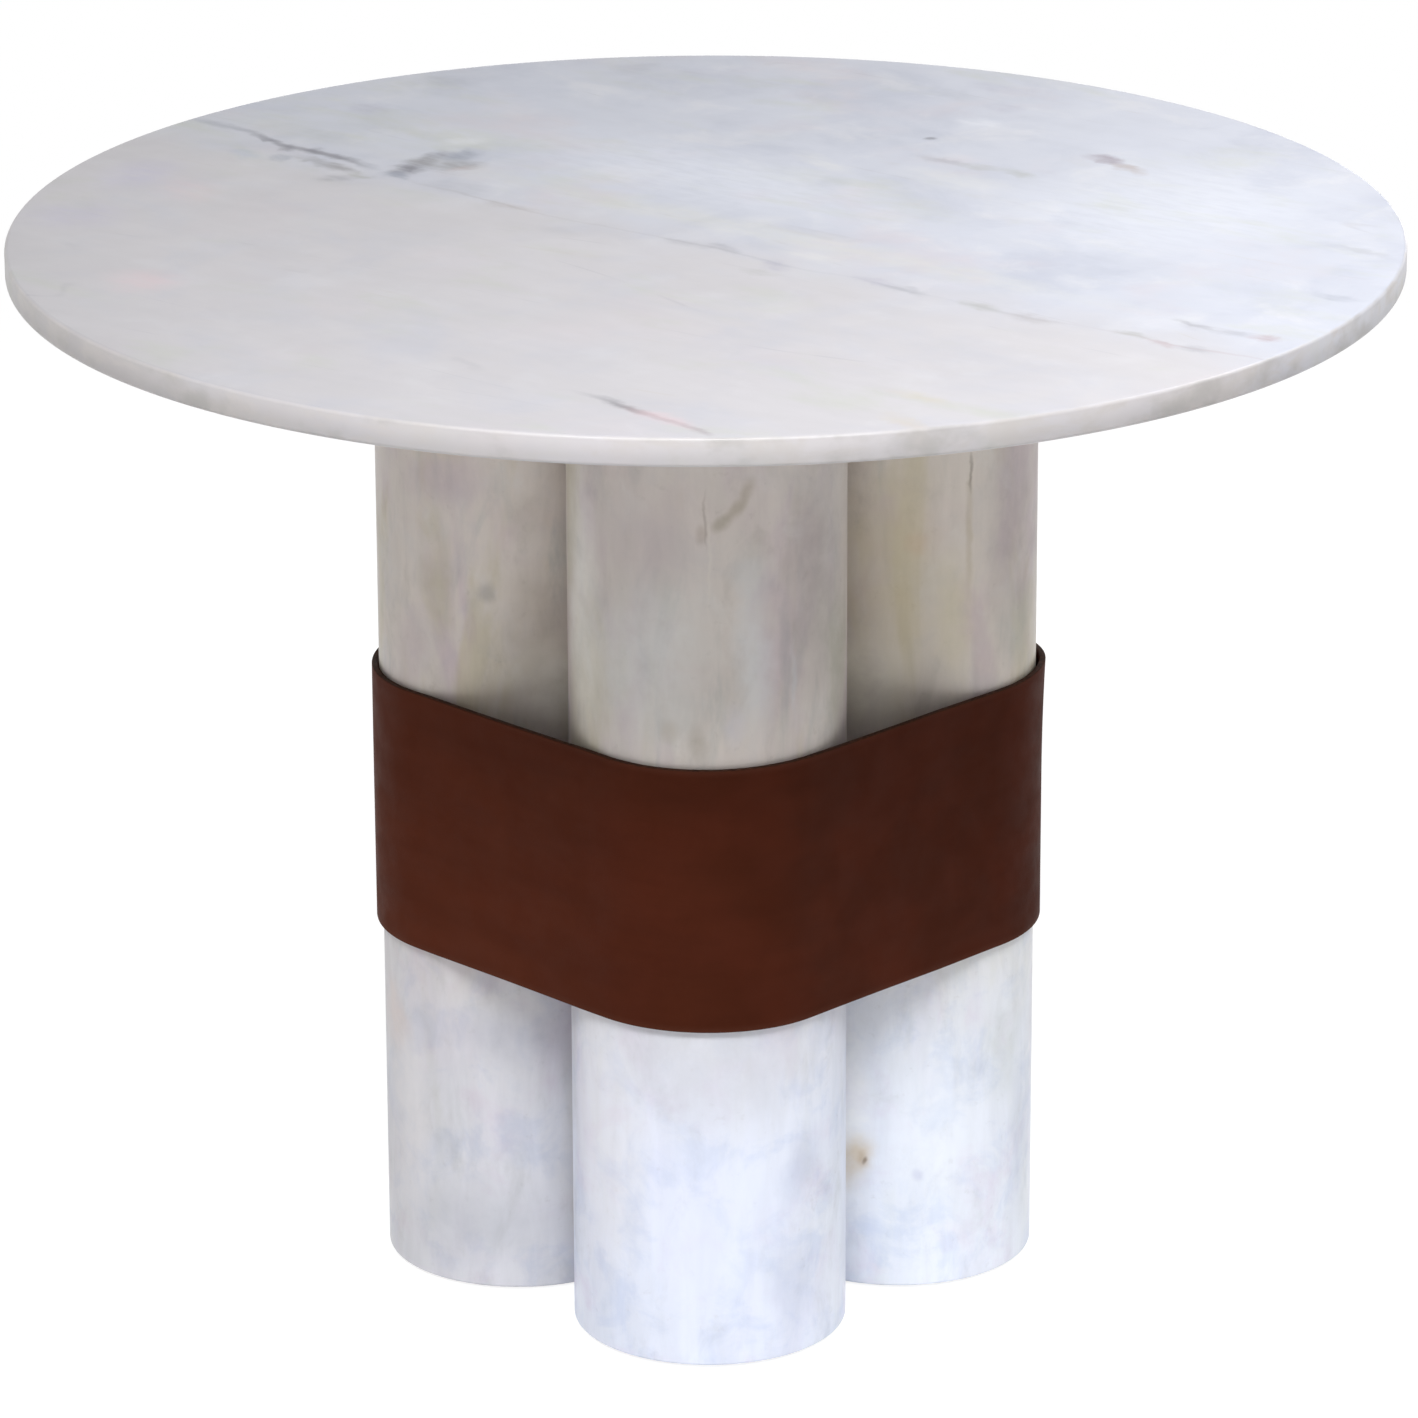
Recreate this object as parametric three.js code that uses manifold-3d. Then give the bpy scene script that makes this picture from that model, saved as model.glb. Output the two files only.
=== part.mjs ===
// A round stone table. A thin slab with eased edges lies on four thick stone
// columns, which stand upright in a square cluster and touch each other. One
// corner of the square faces the front. A wide leather band is pulled tight
// around the cluster at mid height, and its ends lap at the back, where two
// rows of binding posts close it. Lengths are in millimetres, +Z is up, the
// front is at -Y, and the origin is on the floor under the middle of the top.

import * as THREE from 'three';
import { mergeVertices } from 'three/addons/utils/BufferGeometryUtils.js';
import Module from 'manifold-3d';

// Driving dimensions of the stone
const topDiameter = 960;
const topThickness = 20;
const topArris = 3;
const columnDiameter = 190;
const columnHeight = 728;
const columnArris = 2.5;
const columnGap = 0.6;

// Clearances: between pieces that rest on each other, and around pins
const seatGap = 0.3;
const pinClearance = 0.3;

// Pads under the columns and under the slab
const footPadDiameter = 150;
const footPadThickness = 2;
const topPadDiameter = 120;
const topPadThickness = 1;

// Dowels between the columns and the slab
const dowelDiameter = 12;
const dowelDepthInColumn = 30;
const dowelDepthInTop = 10;
const dowelChamfer = 1;

// Leather band
const bandHeight = 190;
const bandThickness = 4.5;
const bandLift = 249;
const bandEdgeRadius = 0.9;
const lapLength = 70;
const lapGap = 0.3;
const lapRampLength = 26;
const lapRampMargin = 5;

// Binding posts that close the lap
const postDiameter = 6;
const postBoreDiameter = 4;
const postFloor = 1.6;
const postHeadDiameter = 13;
const postHeadThickness = 1.6;
const postHeadDome = 0.7;
const screwDiameter = 3.4;
const slotWidth = 1.4;
const slotDepth = 0.8;
const postEdgeMargin = 24;
const postRowSpacing = 36;

// Counts of pieces and facets
const postsPerRow = 4;
const postRows = 2;
const topSides = 144;
const columnSides = 72;
const padSides = 36;
const dowelSides = 24;
const postSides = 12;
const arrisSteps = 3;
const columnArrisSteps = 2;
const bandCornerSteps = columnSides / 4;
const bandEdgeSteps = 2;
const rampSteps = 6;

// Cuts run past the face that they open by this much
const overrun = 1;
// Corners of a mesh that lie closer than this are one corner
const weldDistance = 1e-4;

const quarterTurn = Math.PI / 2;

// Heights of the faces that the pieces stack on
const columnFoot = footPadThickness + seatGap;
const columnHead = columnFoot + columnHeight;
const topPadFoot = columnHead + seatGap;
const topUnderside = topPadFoot + topPadThickness + seatGap;
const bandFoot = columnFoot + bandLift;

// Distance between neighbouring columns, and of each from the middle axis
const columnSpacing = columnDiameter + columnGap;
const columnReach = columnSpacing / Math.SQRT2;

// Where each column stands, as an angle about the middle axis
const columnPlaces = [
  { name: 'front', angle: -quarterTurn },
  { name: 'right', angle: 0 },
  { name: 'back', angle: quarterTurn },
  { name: 'left', angle: 2 * quarterTurn },
];

// The lap lies on the straight run between the back and the left column
const lapAngle = 1.5 * quarterTurn;

const stoneTop = new THREE.MeshStandardMaterial({ color: 0xd6d4dd, roughness: 0.28, metalness: 0 });
const stoneColumn = new THREE.MeshStandardMaterial({ color: 0xcfcbc6, roughness: 0.42, metalness: 0 });
const leather = new THREE.MeshStandardMaterial({ color: 0x47201a, roughness: 0.58, metalness: 0 });
const steel = new THREE.MeshStandardMaterial({ color: 0xb9bcc0, roughness: 0.35, metalness: 1 });
const brass = new THREE.MeshStandardMaterial({ color: 0x9a7a45, roughness: 0.38, metalness: 1 });
const softPad = new THREE.MeshStandardMaterial({ color: 0x2b2a29, roughness: 0.9, metalness: 0 });

const wasm = await Module();
wasm.setup();

// Turn a closed geometry into a solid that can be cut.
function solidOf(geometry) {
  const plain = geometry.clone();
  plain.deleteAttribute('normal');
  plain.deleteAttribute('uv');
  const merged = mergeVertices(plain, weldDistance);
  const corners = merged.index.array;
  const kept = [];
  for (let i = 0; i < corners.length; i += 3) {
    const [a, b, c] = [corners[i], corners[i + 1], corners[i + 2]];
    if (a !== b && b !== c && c !== a) kept.push(a, b, c);
  }
  const vertProperties = new Float32Array(merged.attributes.position.array);
  const triVerts = new Uint32Array(kept);
  return new wasm.Manifold(new wasm.Mesh({ numProp: 3, vertProperties, triVerts }));
}

// Turn a cut solid back into a geometry.
function geometryOf(solid) {
  const cut = solid.getMesh();
  const geometry = new THREE.BufferGeometry();
  geometry.setAttribute('position', new THREE.BufferAttribute(cut.vertProperties, 3));
  geometry.setIndex(new THREE.BufferAttribute(cut.triVerts, 1));
  geometry.computeVertexNormals();
  return geometry;
}

// Cut every tool out of a body.
function carve(body, tools) {
  let solid = solidOf(body);
  for (const tool of tools) solid = solid.subtract(solidOf(tool));
  return geometryOf(solid);
}

// A point of a revolved outline: distance from the axis, and height.
function at(radius, height) {
  return new THREE.Vector2(radius, height);
}

// A quarter round of an outline, from the given angle on.
function roundCorner(radius, height, round, startAngle, steps) {
  const points = [];
  for (let i = 0; i <= steps; i += 1) {
    const angle = startAngle + (i / steps) * quarterTurn;
    points.push(at(radius + round * Math.cos(angle), height + round * Math.sin(angle)));
  }
  return points;
}

// Revolve an outline about the vertical axis.
function turned(outline, sides) {
  return new THREE.LatheGeometry(outline, sides).rotateX(quarterTurn);
}

// A round body with eased edges, standing on its foot at height zero.
function easedRound(diameter, height, round, sides, steps) {
  const inset = diameter / 2 - round;
  const outline = [
    at(0, 0),
    ...roundCorner(inset, round, round, -quarterTurn, steps),
    ...roundCorner(inset, height - round, round, 0, steps),
    at(0, height),
  ];
  return turned(outline, sides);
}

// A round cutter that stands on the given height.
function roundCutter(diameter, height, foot, sides) {
  const radius = diameter / 2;
  const cutter = new THREE.CylinderGeometry(radius, radius, height, sides).rotateX(quarterTurn);
  return cutter.translate(0, 0, foot + height / 2);
}

// Place of a point that lies on a ray from the middle axis.
function onRay(angle, reach) {
  return new THREE.Vector2(reach * Math.cos(angle), reach * Math.sin(angle));
}

// The slab, with a blind hole in its underside over each column.
function tableTopGeometry() {
  const slab = easedRound(topDiameter, topThickness, topArris, topSides, arrisSteps);
  const holeDiameter = dowelDiameter + 2 * pinClearance;
  const holes = columnPlaces.map(({ angle }) => {
    const place = onRay(angle, columnReach);
    const hole = roundCutter(holeDiameter, dowelDepthInTop + overrun, -overrun, dowelSides);
    return hole.translate(place.x, place.y, 0);
  });
  return carve(slab, holes);
}

// One column, with the bore for its dowel in the head.
function columnGeometry() {
  const shaft = easedRound(columnDiameter, columnHeight, columnArris, columnSides, columnArrisSteps);
  const boreDiameter = dowelDiameter + 2 * pinClearance;
  const boreFoot = columnHeight - dowelDepthInColumn;
  return carve(shaft, [roundCutter(boreDiameter, dowelDepthInColumn + overrun, boreFoot, dowelSides)]);
}

// A plain disc that the column stands on.
function footPadGeometry() {
  const radius = footPadDiameter / 2;
  const outline = [at(0, 0), at(radius, 0), at(radius, footPadThickness), at(0, footPadThickness)];
  return turned(outline, padSides);
}

// A soft washer around the dowel, under the slab.
function topPadGeometry() {
  const radius = topPadDiameter / 2;
  const eye = dowelDiameter / 2 + pinClearance;
  const outline = [
    at(eye, 0),
    at(radius, 0),
    at(radius, topPadThickness),
    at(eye, topPadThickness),
    at(eye, 0),
  ];
  return turned(outline, padSides);
}

// A steel dowel that fills its bore in the column and its hole in the slab.
const dowelFoot = columnHead - dowelDepthInColumn + seatGap;
const dowelLength = topUnderside + dowelDepthInTop - seatGap - dowelFoot;

function dowelGeometry() {
  const radius = dowelDiameter / 2;
  const neck = radius - dowelChamfer;
  const outline = [
    at(0, 0),
    at(neck, 0),
    at(radius, dowelChamfer),
    at(radius, dowelLength - dowelChamfer),
    at(neck, dowelLength),
    at(0, dowelLength),
  ];
  return turned(outline, dowelSides);
}

// The band's path. Each station has a place on the line that the inner face
// follows, the outward direction there, and how far the strap is lifted off
// that line, which happens only where its outer end climbs over the inner one.
const bandInnerRadius = columnDiameter / 2 + seatGap;
const lapLift = bandThickness + lapGap;
const lapEnd = lapLength / 2;
const rampTop = lapEnd + lapRampMargin;

function runStation(along, lift) {
  const outward = onRay(lapAngle, 1);
  const forward = onRay(lapAngle + quarterTurn, 1);
  const base = onRay(lapAngle, columnSpacing / 2 + bandInnerRadius);
  return { place: base.addScaledVector(forward, along), outward, lift };
}

function cornerStations(angle) {
  const centre = onRay(angle, columnReach);
  const stations = [];
  for (let i = 0; i <= bandCornerSteps; i += 1) {
    const turn = angle + (i / bandCornerSteps - 0.5) * quarterTurn;
    const outward = onRay(turn, 1);
    stations.push({ place: centre.clone().addScaledVector(outward, bandInnerRadius), outward, lift: 0 });
  }
  return stations;
}

function rampStations() {
  const stations = [];
  for (let i = 0; i <= rampSteps; i += 1) {
    const share = i / rampSteps;
    const eased = (1 - Math.cos(share * Math.PI)) / 2;
    const along = -(rampTop + lapRampLength * (1 - share));
    stations.push(runStation(along, eased * lapLift));
  }
  return stations;
}

function bandStations() {
  const [front, right, back, left] = columnPlaces.map(({ angle }) => cornerStations(angle));
  return [
    runStation(-lapEnd, 0),
    ...left,
    ...front,
    ...right,
    ...back,
    ...rampStations(),
    runStation(lapEnd, lapLift),
  ];
}

// Place a geometry that points along +Y so that it points out of the lap.
function outOfLap(geometry, along, height) {
  const base = runStation(along, 0).place;
  return geometry.rotateZ(lapAngle - quarterTurn).translate(base.x, base.y, height);
}

// Where the posts stand: along the run from its middle, and up the band.
function postPlaces() {
  const places = [];
  const climb = (bandHeight - 2 * postEdgeMargin) / (postsPerRow - 1);
  for (let row = 0; row < postRows; row += 1) {
    for (let step = 0; step < postsPerRow; step += 1) {
      const along = (row - (postRows - 1) / 2) * postRowSpacing;
      places.push({ along, height: bandFoot + postEdgeMargin + step * climb });
    }
  }
  return places;
}

// The strap: its outline in plan is pushed up and its long edges are rounded.
function bandGeometry() {
  const stations = bandStations();
  const faceAt = (station, depth) => (
    station.place.clone().addScaledVector(station.outward, station.lift + depth)
  );
  const inner = stations.map((station) => faceAt(station, 0));
  const outer = stations.map((station) => faceAt(station, bandThickness)).reverse();
  const strap = new THREE.ExtrudeGeometry(new THREE.Shape([...inner, ...outer]), {
    depth: bandHeight - 2 * bandEdgeRadius,
    bevelEnabled: true,
    bevelThickness: bandEdgeRadius,
    bevelSize: bandEdgeRadius,
    bevelOffset: -bandEdgeRadius,
    bevelSegments: bandEdgeSteps,
  }).translate(0, 0, bandFoot + bandEdgeRadius);
  const holeRadius = postDiameter / 2 + pinClearance;
  const holeLength = 2 * bandThickness + lapGap + 2 * overrun;
  const holes = postPlaces().map(({ along, height }) => {
    const hole = new THREE.CylinderGeometry(holeRadius, holeRadius, holeLength, postSides);
    hole.translate(0, holeLength / 2 - overrun, 0);
    return outOfLap(hole, along, height);
  });
  return carve(strap, holes);
}

// A binding post: a domed head against the inner face of the lap, and a barrel
// that passes both layers and is bored from its outer end. It points along +Y.
const lapStack = 2 * bandThickness + lapGap;
const barrelLength = lapStack - seatGap;
const headSeat = -seatGap;

function postGeometry() {
  const head = postHeadDiameter / 2;
  const radius = postDiameter / 2;
  const bore = postBoreDiameter / 2;
  const outline = [
    at(0, headSeat - postHeadThickness),
    at(head - postHeadDome, headSeat - postHeadThickness),
    at(head, headSeat - postHeadThickness + postHeadDome),
    at(head, headSeat),
    at(radius, headSeat),
    at(radius, barrelLength),
    at(bore, barrelLength),
    at(bore, postFloor),
    at(0, postFloor),
  ];
  return new THREE.LatheGeometry(outline, postSides);
}

// Its screw: a slotted head on the outer face and a shank inside the barrel.
function screwGeometry() {
  const head = postHeadDiameter / 2;
  const shank = screwDiameter / 2;
  const seat = lapStack + seatGap;
  const crown = seat + postHeadThickness;
  const outline = [
    at(0, postFloor + seatGap),
    at(shank, postFloor + seatGap),
    at(shank, seat),
    at(head, seat),
    at(head, crown - postHeadDome),
    at(head - postHeadDome, crown),
    at(0, crown),
  ];
  const slot = new THREE.BoxGeometry(postHeadDiameter + overrun, slotDepth + overrun, slotWidth);
  slot.translate(0, crown - slotDepth + (slotDepth + overrun) / 2, 0);
  return carve(new THREE.LatheGeometry(outline, postSides), [slot]);
}

// Make a named piece.
function piece(name, geometry, material) {
  const mesh = new THREE.Mesh(geometry, material);
  mesh.name = name;
  return mesh;
}

// A column with what stands under it, on it and in it.
function columnGroup({ name, angle }) {
  const group = new THREE.Group();
  const column = piece(`column_${name}`, columnGeometry(), stoneColumn.clone());
  column.position.z = columnFoot;
  const footPad = piece(`foot_pad_${name}`, footPadGeometry(), softPad.clone());
  const topPad = piece(`top_pad_${name}`, topPadGeometry(), softPad.clone());
  topPad.position.z = topPadFoot;
  const dowel = piece(`top_dowel_${name}`, dowelGeometry(), steel.clone());
  dowel.position.z = dowelFoot;
  group.add(column, footPad, topPad, dowel);
  const place = onRay(angle, columnReach);
  group.position.set(place.x, place.y, 0);
  return group;
}

// A post and its screw, put through both layers of the lap.
function postGroup({ along, height }, index) {
  const group = new THREE.Group();
  group.add(piece(`lap_post_${index + 1}`, postGeometry(), brass.clone()));
  group.add(piece(`lap_screw_${index + 1}`, screwGeometry(), brass.clone()));
  const base = runStation(along, 0).place;
  group.rotation.z = lapAngle - quarterTurn;
  group.position.set(base.x, base.y, height);
  return group;
}

const table = new THREE.Group();
const tableTop = piece('table_top', tableTopGeometry(), stoneTop);
tableTop.position.z = topUnderside;
table.add(tableTop);
for (const place of columnPlaces) table.add(columnGroup(place));
table.add(piece('leather_band', bandGeometry(), leather));
postPlaces().forEach((place, index) => table.add(postGroup(place, index)));

export default table;
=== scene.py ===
"""Looks of a round marble table whose four columns a leather band holds together.

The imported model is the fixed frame. Every piece that replaces one of its nodes takes its
place and its main sizes from that node's box. Lengths are in metres, +Z is up, and the
front is at -Y.
"""

import logging
import math
from collections.abc import Callable, Mapping, Sequence
from dataclasses import dataclass, field
from enum import Enum
from typing import Any

import bmesh
import bpy
from mathutils import Matrix, Vector


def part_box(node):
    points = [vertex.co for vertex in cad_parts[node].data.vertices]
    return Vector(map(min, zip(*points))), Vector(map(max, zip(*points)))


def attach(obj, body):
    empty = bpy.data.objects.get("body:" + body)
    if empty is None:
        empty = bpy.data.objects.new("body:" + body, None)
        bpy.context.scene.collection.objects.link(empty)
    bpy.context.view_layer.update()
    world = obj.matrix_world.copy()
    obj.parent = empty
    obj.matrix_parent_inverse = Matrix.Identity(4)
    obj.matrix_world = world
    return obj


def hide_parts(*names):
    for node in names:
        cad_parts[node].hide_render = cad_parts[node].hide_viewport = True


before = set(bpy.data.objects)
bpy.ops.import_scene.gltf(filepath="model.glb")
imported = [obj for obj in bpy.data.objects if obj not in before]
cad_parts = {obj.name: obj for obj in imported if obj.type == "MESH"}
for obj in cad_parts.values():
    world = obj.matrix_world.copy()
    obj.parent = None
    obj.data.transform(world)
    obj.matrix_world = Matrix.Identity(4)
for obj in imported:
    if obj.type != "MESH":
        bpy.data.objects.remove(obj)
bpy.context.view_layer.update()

LOG = logging.getLogger("round_table")
BODY = "root"

Colour = tuple[float, float, float]
Triple = tuple[float, float, float]

NO_SHIFT: Triple = (0.0, 0.0, 0.0)
NO_STRETCH: Triple = (1.0, 1.0, 1.0)
WHITE: Colour = (1.0, 1.0, 1.0)
QUARTER = math.pi / 2
STONE_IOR = 1.5
MOST_SIDE_CORNERS = 8


def tone(red: int, green: int, blue: int) -> Colour:
    """Turn a colour as a screen shows it into the linear values that shaders use.

    Args:
        red: Red, from 0 to 255.
        green: Green, from 0 to 255.
        blue: Blue, from 0 to 255.

    Returns:
        The linear colour.
    """

    def linear(value: int) -> float:
        """Undo the screen's curve for one channel."""
        share = value / 255
        return share / 12.92 if share <= 0.04045 else ((share + 0.055) / 1.055) ** 2.4

    return (linear(red), linear(green), linear(blue))


# Shader nodes


class Blend(Enum):
    """How one colour is laid over another."""

    COVER = "MIX"
    STAIN = "MULTIPLY"


def math_operator(operation: str, reflected: bool = False) -> Callable[..., "Signal"]:
    """Make an operator of signals.

    Args:
        operation: The Math node's operation.
        reflected: Whether the signal comes second, as in 1 - signal.

    Returns:
        The operator.
    """

    def operator(signal: "Signal", other: "Signal | float") -> "Signal":
        """Work out the Math node."""
        terms = (other, signal) if reflected else (signal, other)
        return signal.sheet.maths(operation, *terms)

    return operator


class Signal:
    """An output socket that takes part in Python arithmetic."""

    def __init__(self, sheet: "NodeSheet", socket: bpy.types.NodeSocket) -> None:
        """Keep the socket and the sheet that it is on."""
        self.sheet = sheet
        self.socket = socket

    __add__ = math_operator("ADD")
    __radd__ = math_operator("ADD", reflected=True)
    __sub__ = math_operator("SUBTRACT")
    __rsub__ = math_operator("SUBTRACT", reflected=True)
    __mul__ = math_operator("MULTIPLY")
    __rmul__ = math_operator("MULTIPLY", reflected=True)
    __truediv__ = math_operator("DIVIDE")
    __rtruediv__ = math_operator("DIVIDE", reflected=True)

    def __abs__(self) -> "Signal":
        """Drop the sign."""
        return self.sheet.maths("ABSOLUTE", self)


class NodeSheet:
    """The node sheet of a material or of the surroundings, filled from left to right."""

    def __init__(self, owner: bpy.types.Material | bpy.types.World) -> None:
        """Empty the owner's sheet.

        Args:
            owner: The material, or the world.
        """
        owner.use_nodes = True
        self.owner = owner
        self.nodes = owner.node_tree.nodes
        self.links = owner.node_tree.links
        self.nodes.clear()

    @classmethod
    def of_material(cls, name: str) -> "NodeSheet":
        """Start the sheet of a new material."""
        return cls(bpy.data.materials.new(name))

    def add(
        self,
        kind: str,
        settings: Mapping[str, Any] | None = None,
        inputs: Mapping[str | int, Any] | None = None,
    ) -> bpy.types.Node:
        """Add a node, set it up, and feed its sockets.

        Args:
            kind: Type of the node.
            settings: Its properties. Under "stops" a ramp's positions and colours.
            inputs: A value or a link for each socket, by identifier, name or number.

        Returns:
            The new node.
        """
        node = self.nodes.new(kind)
        for key, value in (settings or {}).items():
            if key == "stops":
                self._set_stops(node.color_ramp, value)
            else:
                setattr(node, key, value)
        for key, value in (inputs or {}).items():
            socket = self._socket(node.inputs, key)
            if isinstance(value, Signal):
                self.links.new(value.socket, socket)
            elif socket.type == "RGBA" and len(value) == 3:
                socket.default_value = (*value, 1.0)
            else:
                socket.default_value = value
        return node

    @staticmethod
    def _socket(sockets: Any, key: str | int) -> bpy.types.NodeSocket:
        """Find a socket.

        Args:
            sockets: The inputs or the outputs of a node.
            key: The socket's number, its identifier or its name.

        Returns:
            The socket.
        """
        if isinstance(key, int):
            return sockets[key]
        return next((s for s in sockets if s.identifier == key), None) or sockets[key]

    @staticmethod
    def _set_stops(ramp: bpy.types.ColorRamp, stops: Sequence[tuple[float, Colour]]) -> None:
        """Give a ramp its stops.

        Args:
            ramp: The ramp.
            stops: Their positions and colours, in order.
        """
        while len(ramp.elements) < len(stops):
            ramp.elements.new(1.0)
        for element, (position, colour) in zip(ramp.elements, stops, strict=True):
            element.position = position
            element.color = (*colour, 1.0)

    def out(self, node: bpy.types.Node, key: str | int = 0) -> Signal:
        """Wrap one output of a node."""
        return Signal(self, self._socket(node.outputs, key))

    def maths(self, operation: str, *terms: "Signal | float") -> Signal:
        """Work out one Math node on values."""
        node = self.add("ShaderNodeMath", {"operation": operation}, dict(enumerate(terms)))
        return self.out(node)

    def vectors(self, operation: str, *terms: "Signal | Triple") -> Signal:
        """Work out one Vector Math node. Only a length gives a single value."""
        node = self.add("ShaderNodeVectorMath", {"operation": operation}, dict(enumerate(terms)))
        return self.out(node, "Value" if operation == "LENGTH" else "Vector")

    def split(self, kind: str, source: Signal) -> tuple[Signal, ...]:
        """Split a vector or a colour into its three values."""
        node = self.add(kind, inputs={0: source})
        return tuple(self.out(node, key) for key in range(3))

    def axes(self, vector: Signal) -> tuple[Signal, ...]:
        """Split coordinates."""
        return self.split("ShaderNodeSeparateXYZ", vector)

    def channels(self, colour: Signal) -> tuple[Signal, ...]:
        """Split a colour."""
        return self.split("ShaderNodeSeparateColor", colour)

    def coordinates(self) -> Signal:
        """Give the piece's own coordinates, in metres."""
        return self.out(self.add("ShaderNodeTexCoord"), "Object")

    def placed(
        self,
        vector: Signal,
        location: Triple = NO_SHIFT,
        rotation: Triple = NO_SHIFT,
        scale: Triple = NO_STRETCH,
        way: str = "POINT",
    ) -> Signal:
        """Move, turn and stretch coordinates as a POINT, or the pattern on them as a TEXTURE."""
        inputs = {"Vector": vector, "Location": location, "Rotation": rotation, "Scale": scale}
        return self.out(self.add("ShaderNodeMapping", {"vector_type": way}, inputs))

    def noise(
        self,
        vector: Signal,
        scale: float = 1.0,
        detail: float = 3.0,
        roughness: float = 0.55,
        bend: float = 0.0,
    ) -> Signal:
        """Give noise from 0 to 1: lumps to the metre, finer layers, their share, and its twist."""
        values = {"Scale": scale, "Detail": detail, "Roughness": roughness, "Distortion": bend}
        return self.out(self.add("ShaderNodeTexNoise", inputs={"Vector": vector, **values}), "Fac")

    def step(
        self,
        value: Signal,
        low: float,
        high: float,
        first: float = 0.0,
        last: float = 1.0,
    ) -> Signal:
        """Go smoothly from the first result to the last as a value goes from low to high."""
        inputs = {0: value, 1: low, 2: high, 3: first, 4: last}
        return self.out(self.add("ShaderNodeMapRange", {"interpolation_type": "SMOOTHSTEP"}, inputs))

    def ramp(self, value: Signal, stops: Sequence[tuple[float, Colour]]) -> Signal:
        """Look a value up on a colour ramp."""
        return self.out(self.add("ShaderNodeValToRGB", {"stops": stops}, {"Fac": value}))

    def mix(
        self,
        share: "Signal | float",
        first: "Signal | Colour",
        second: "Signal | Colour",
        way: Blend = Blend.COVER,
    ) -> Signal:
        """Mix two colours.

        Args:
            share: How much of the second one.
            first: The colour underneath.
            second: The colour that is laid over it.
            way: How it is laid.

        Returns:
            The mixed colour.
        """
        settings = {"data_type": "RGBA", "blend_type": way.value, "clamp_factor": True}
        inputs = {"Factor_Float": share, "A_Color": first, "B_Color": second}
        return self.out(self.add("ShaderNodeMix", settings, inputs), "Result_Color")

    def shade(self, colour: Signal, level: Signal) -> Signal:
        """Multiply a colour by a value near 1."""
        inputs = {0: colour, "Scale": level}
        return self.out(self.add("ShaderNodeVectorMath", {"operation": "SCALE"}, inputs))

    def blot(
        self, vector: Signal, place: Triple, size: Triple, turn: Triple = NO_SHIFT
    ) -> Signal:
        """Give a soft patch, 1 at its place and 0 at its rim, with half its size on each axis."""
        near = self.placed(vector, place, turn, size, "TEXTURE")
        return self.step(self.vectors("LENGTH", near), 0.15, 1.0, 1.0, 0.0)

    def warped(self, vector: Signal, scale: float, depth: float) -> Signal:
        """Push coordinates about by soft noise.

        Args:
            vector: The coordinates.
            scale: How many lumps of the noise to the metre.
            depth: How far it pushes, in metres.

        Returns:
            The pushed coordinates.
        """
        inputs = {"Vector": vector, "Scale": scale, "Detail": 3.0}
        noise = self.add("ShaderNodeTexNoise", inputs=inputs)
        centred = self.vectors("SUBTRACT", self.out(noise, "Color"), (0.5, 0.5, 0.5))
        return self.vectors("MULTIPLY_ADD", centred, (2 * depth,) * 3, vector)

    def bump(self, height: Signal, depth: float) -> Signal:
        """Turn a height from 0 to 1 into a surface direction, for its real depth in metres."""
        node = self.add("ShaderNodeBump", inputs={"Height": height, "Distance": depth})
        return self.out(node, "Normal")

    def seen(self) -> Signal:
        """Tell the rays that make a picture from those that only carry light.

        Returns:
            1 for a ray from the camera, off gloss or through glass, and 0 for any other.
        """
        path = self.add("ShaderNodeLightPath")
        camera, glossy, clear = (
            self.out(path, f"Is {kind} Ray") for kind in ("Camera", "Glossy", "Transmission")
        )
        return self.maths("MINIMUM", camera + glossy + clear, 1.0)

    def blend(self, share: Signal, first: bpy.types.Node, second: bpy.types.Node) -> bpy.types.Node:
        """Mix two shaders."""
        inputs = {0: share, 1: self.out(first), 2: self.out(second)}
        return self.add("ShaderNodeMixShader", inputs=inputs)

    def close(self, surface: Mapping[str | int, Any]) -> bpy.types.Material:
        """Put the main shader and the output on the sheet.

        Args:
            surface: Values and links of the shader's sockets.

        Returns:
            The finished material.
        """
        shader = self.add("ShaderNodeBsdfPrincipled", inputs=surface)
        self.add("ShaderNodeOutputMaterial", inputs={"Surface": self.out(shader)})
        return self.owner


# Stone finishes


class Zone(Enum):
    """The part of a stone that a veil shows on."""

    ALL = "all of it"
    FAR = "mostly the far side"
    HIGH = "mostly the upper part"
    LOW = "mostly the lower part"
    HEAD = "only the upper part"
    SIDE = "only the cut side"


@dataclass(frozen=True)
class Veil:
    """A veil of soft noise that covers stone.

    What shows of it goes from its least to its strength while its noise crosses the span.
    """

    tint: Colour
    span: tuple[float, float]
    strength: float = 1.0
    scale: float = 1.0
    detail: float = 5.0
    roughness: float = 0.6
    bend: float = 0.4
    shift: Triple = NO_SHIFT
    stretch: Triple = NO_STRETCH
    zone: Zone = Zone.ALL
    least: float = 0.0
    way: Blend = Blend.COVER

    def lay(self, ground: Signal, share: Signal | None, colour: Signal) -> Signal:
        """Lay the veil over a stone.

        Args:
            ground: Coordinates that the noise is laid in.
            share: How much of the veil shows at each place, or nothing where all of it does.
            colour: The stone so far.

        Returns:
            The veiled stone.
        """
        sheet = ground.sheet
        if (self.shift, self.stretch) != (NO_SHIFT, NO_STRETCH):
            ground = sheet.placed(ground, self.shift, scale=self.stretch)
        noise = sheet.noise(ground, self.scale, self.detail, self.roughness, self.bend)
        mask = sheet.step(noise, *self.span, self.least, self.strength)
        return sheet.mix(mask * share if share else mask, colour, self.tint, self.way)


@dataclass(frozen=True)
class Stain(Veil):
    """A veil that darkens the stone below it."""

    way: Blend = Blend.STAIN


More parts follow.
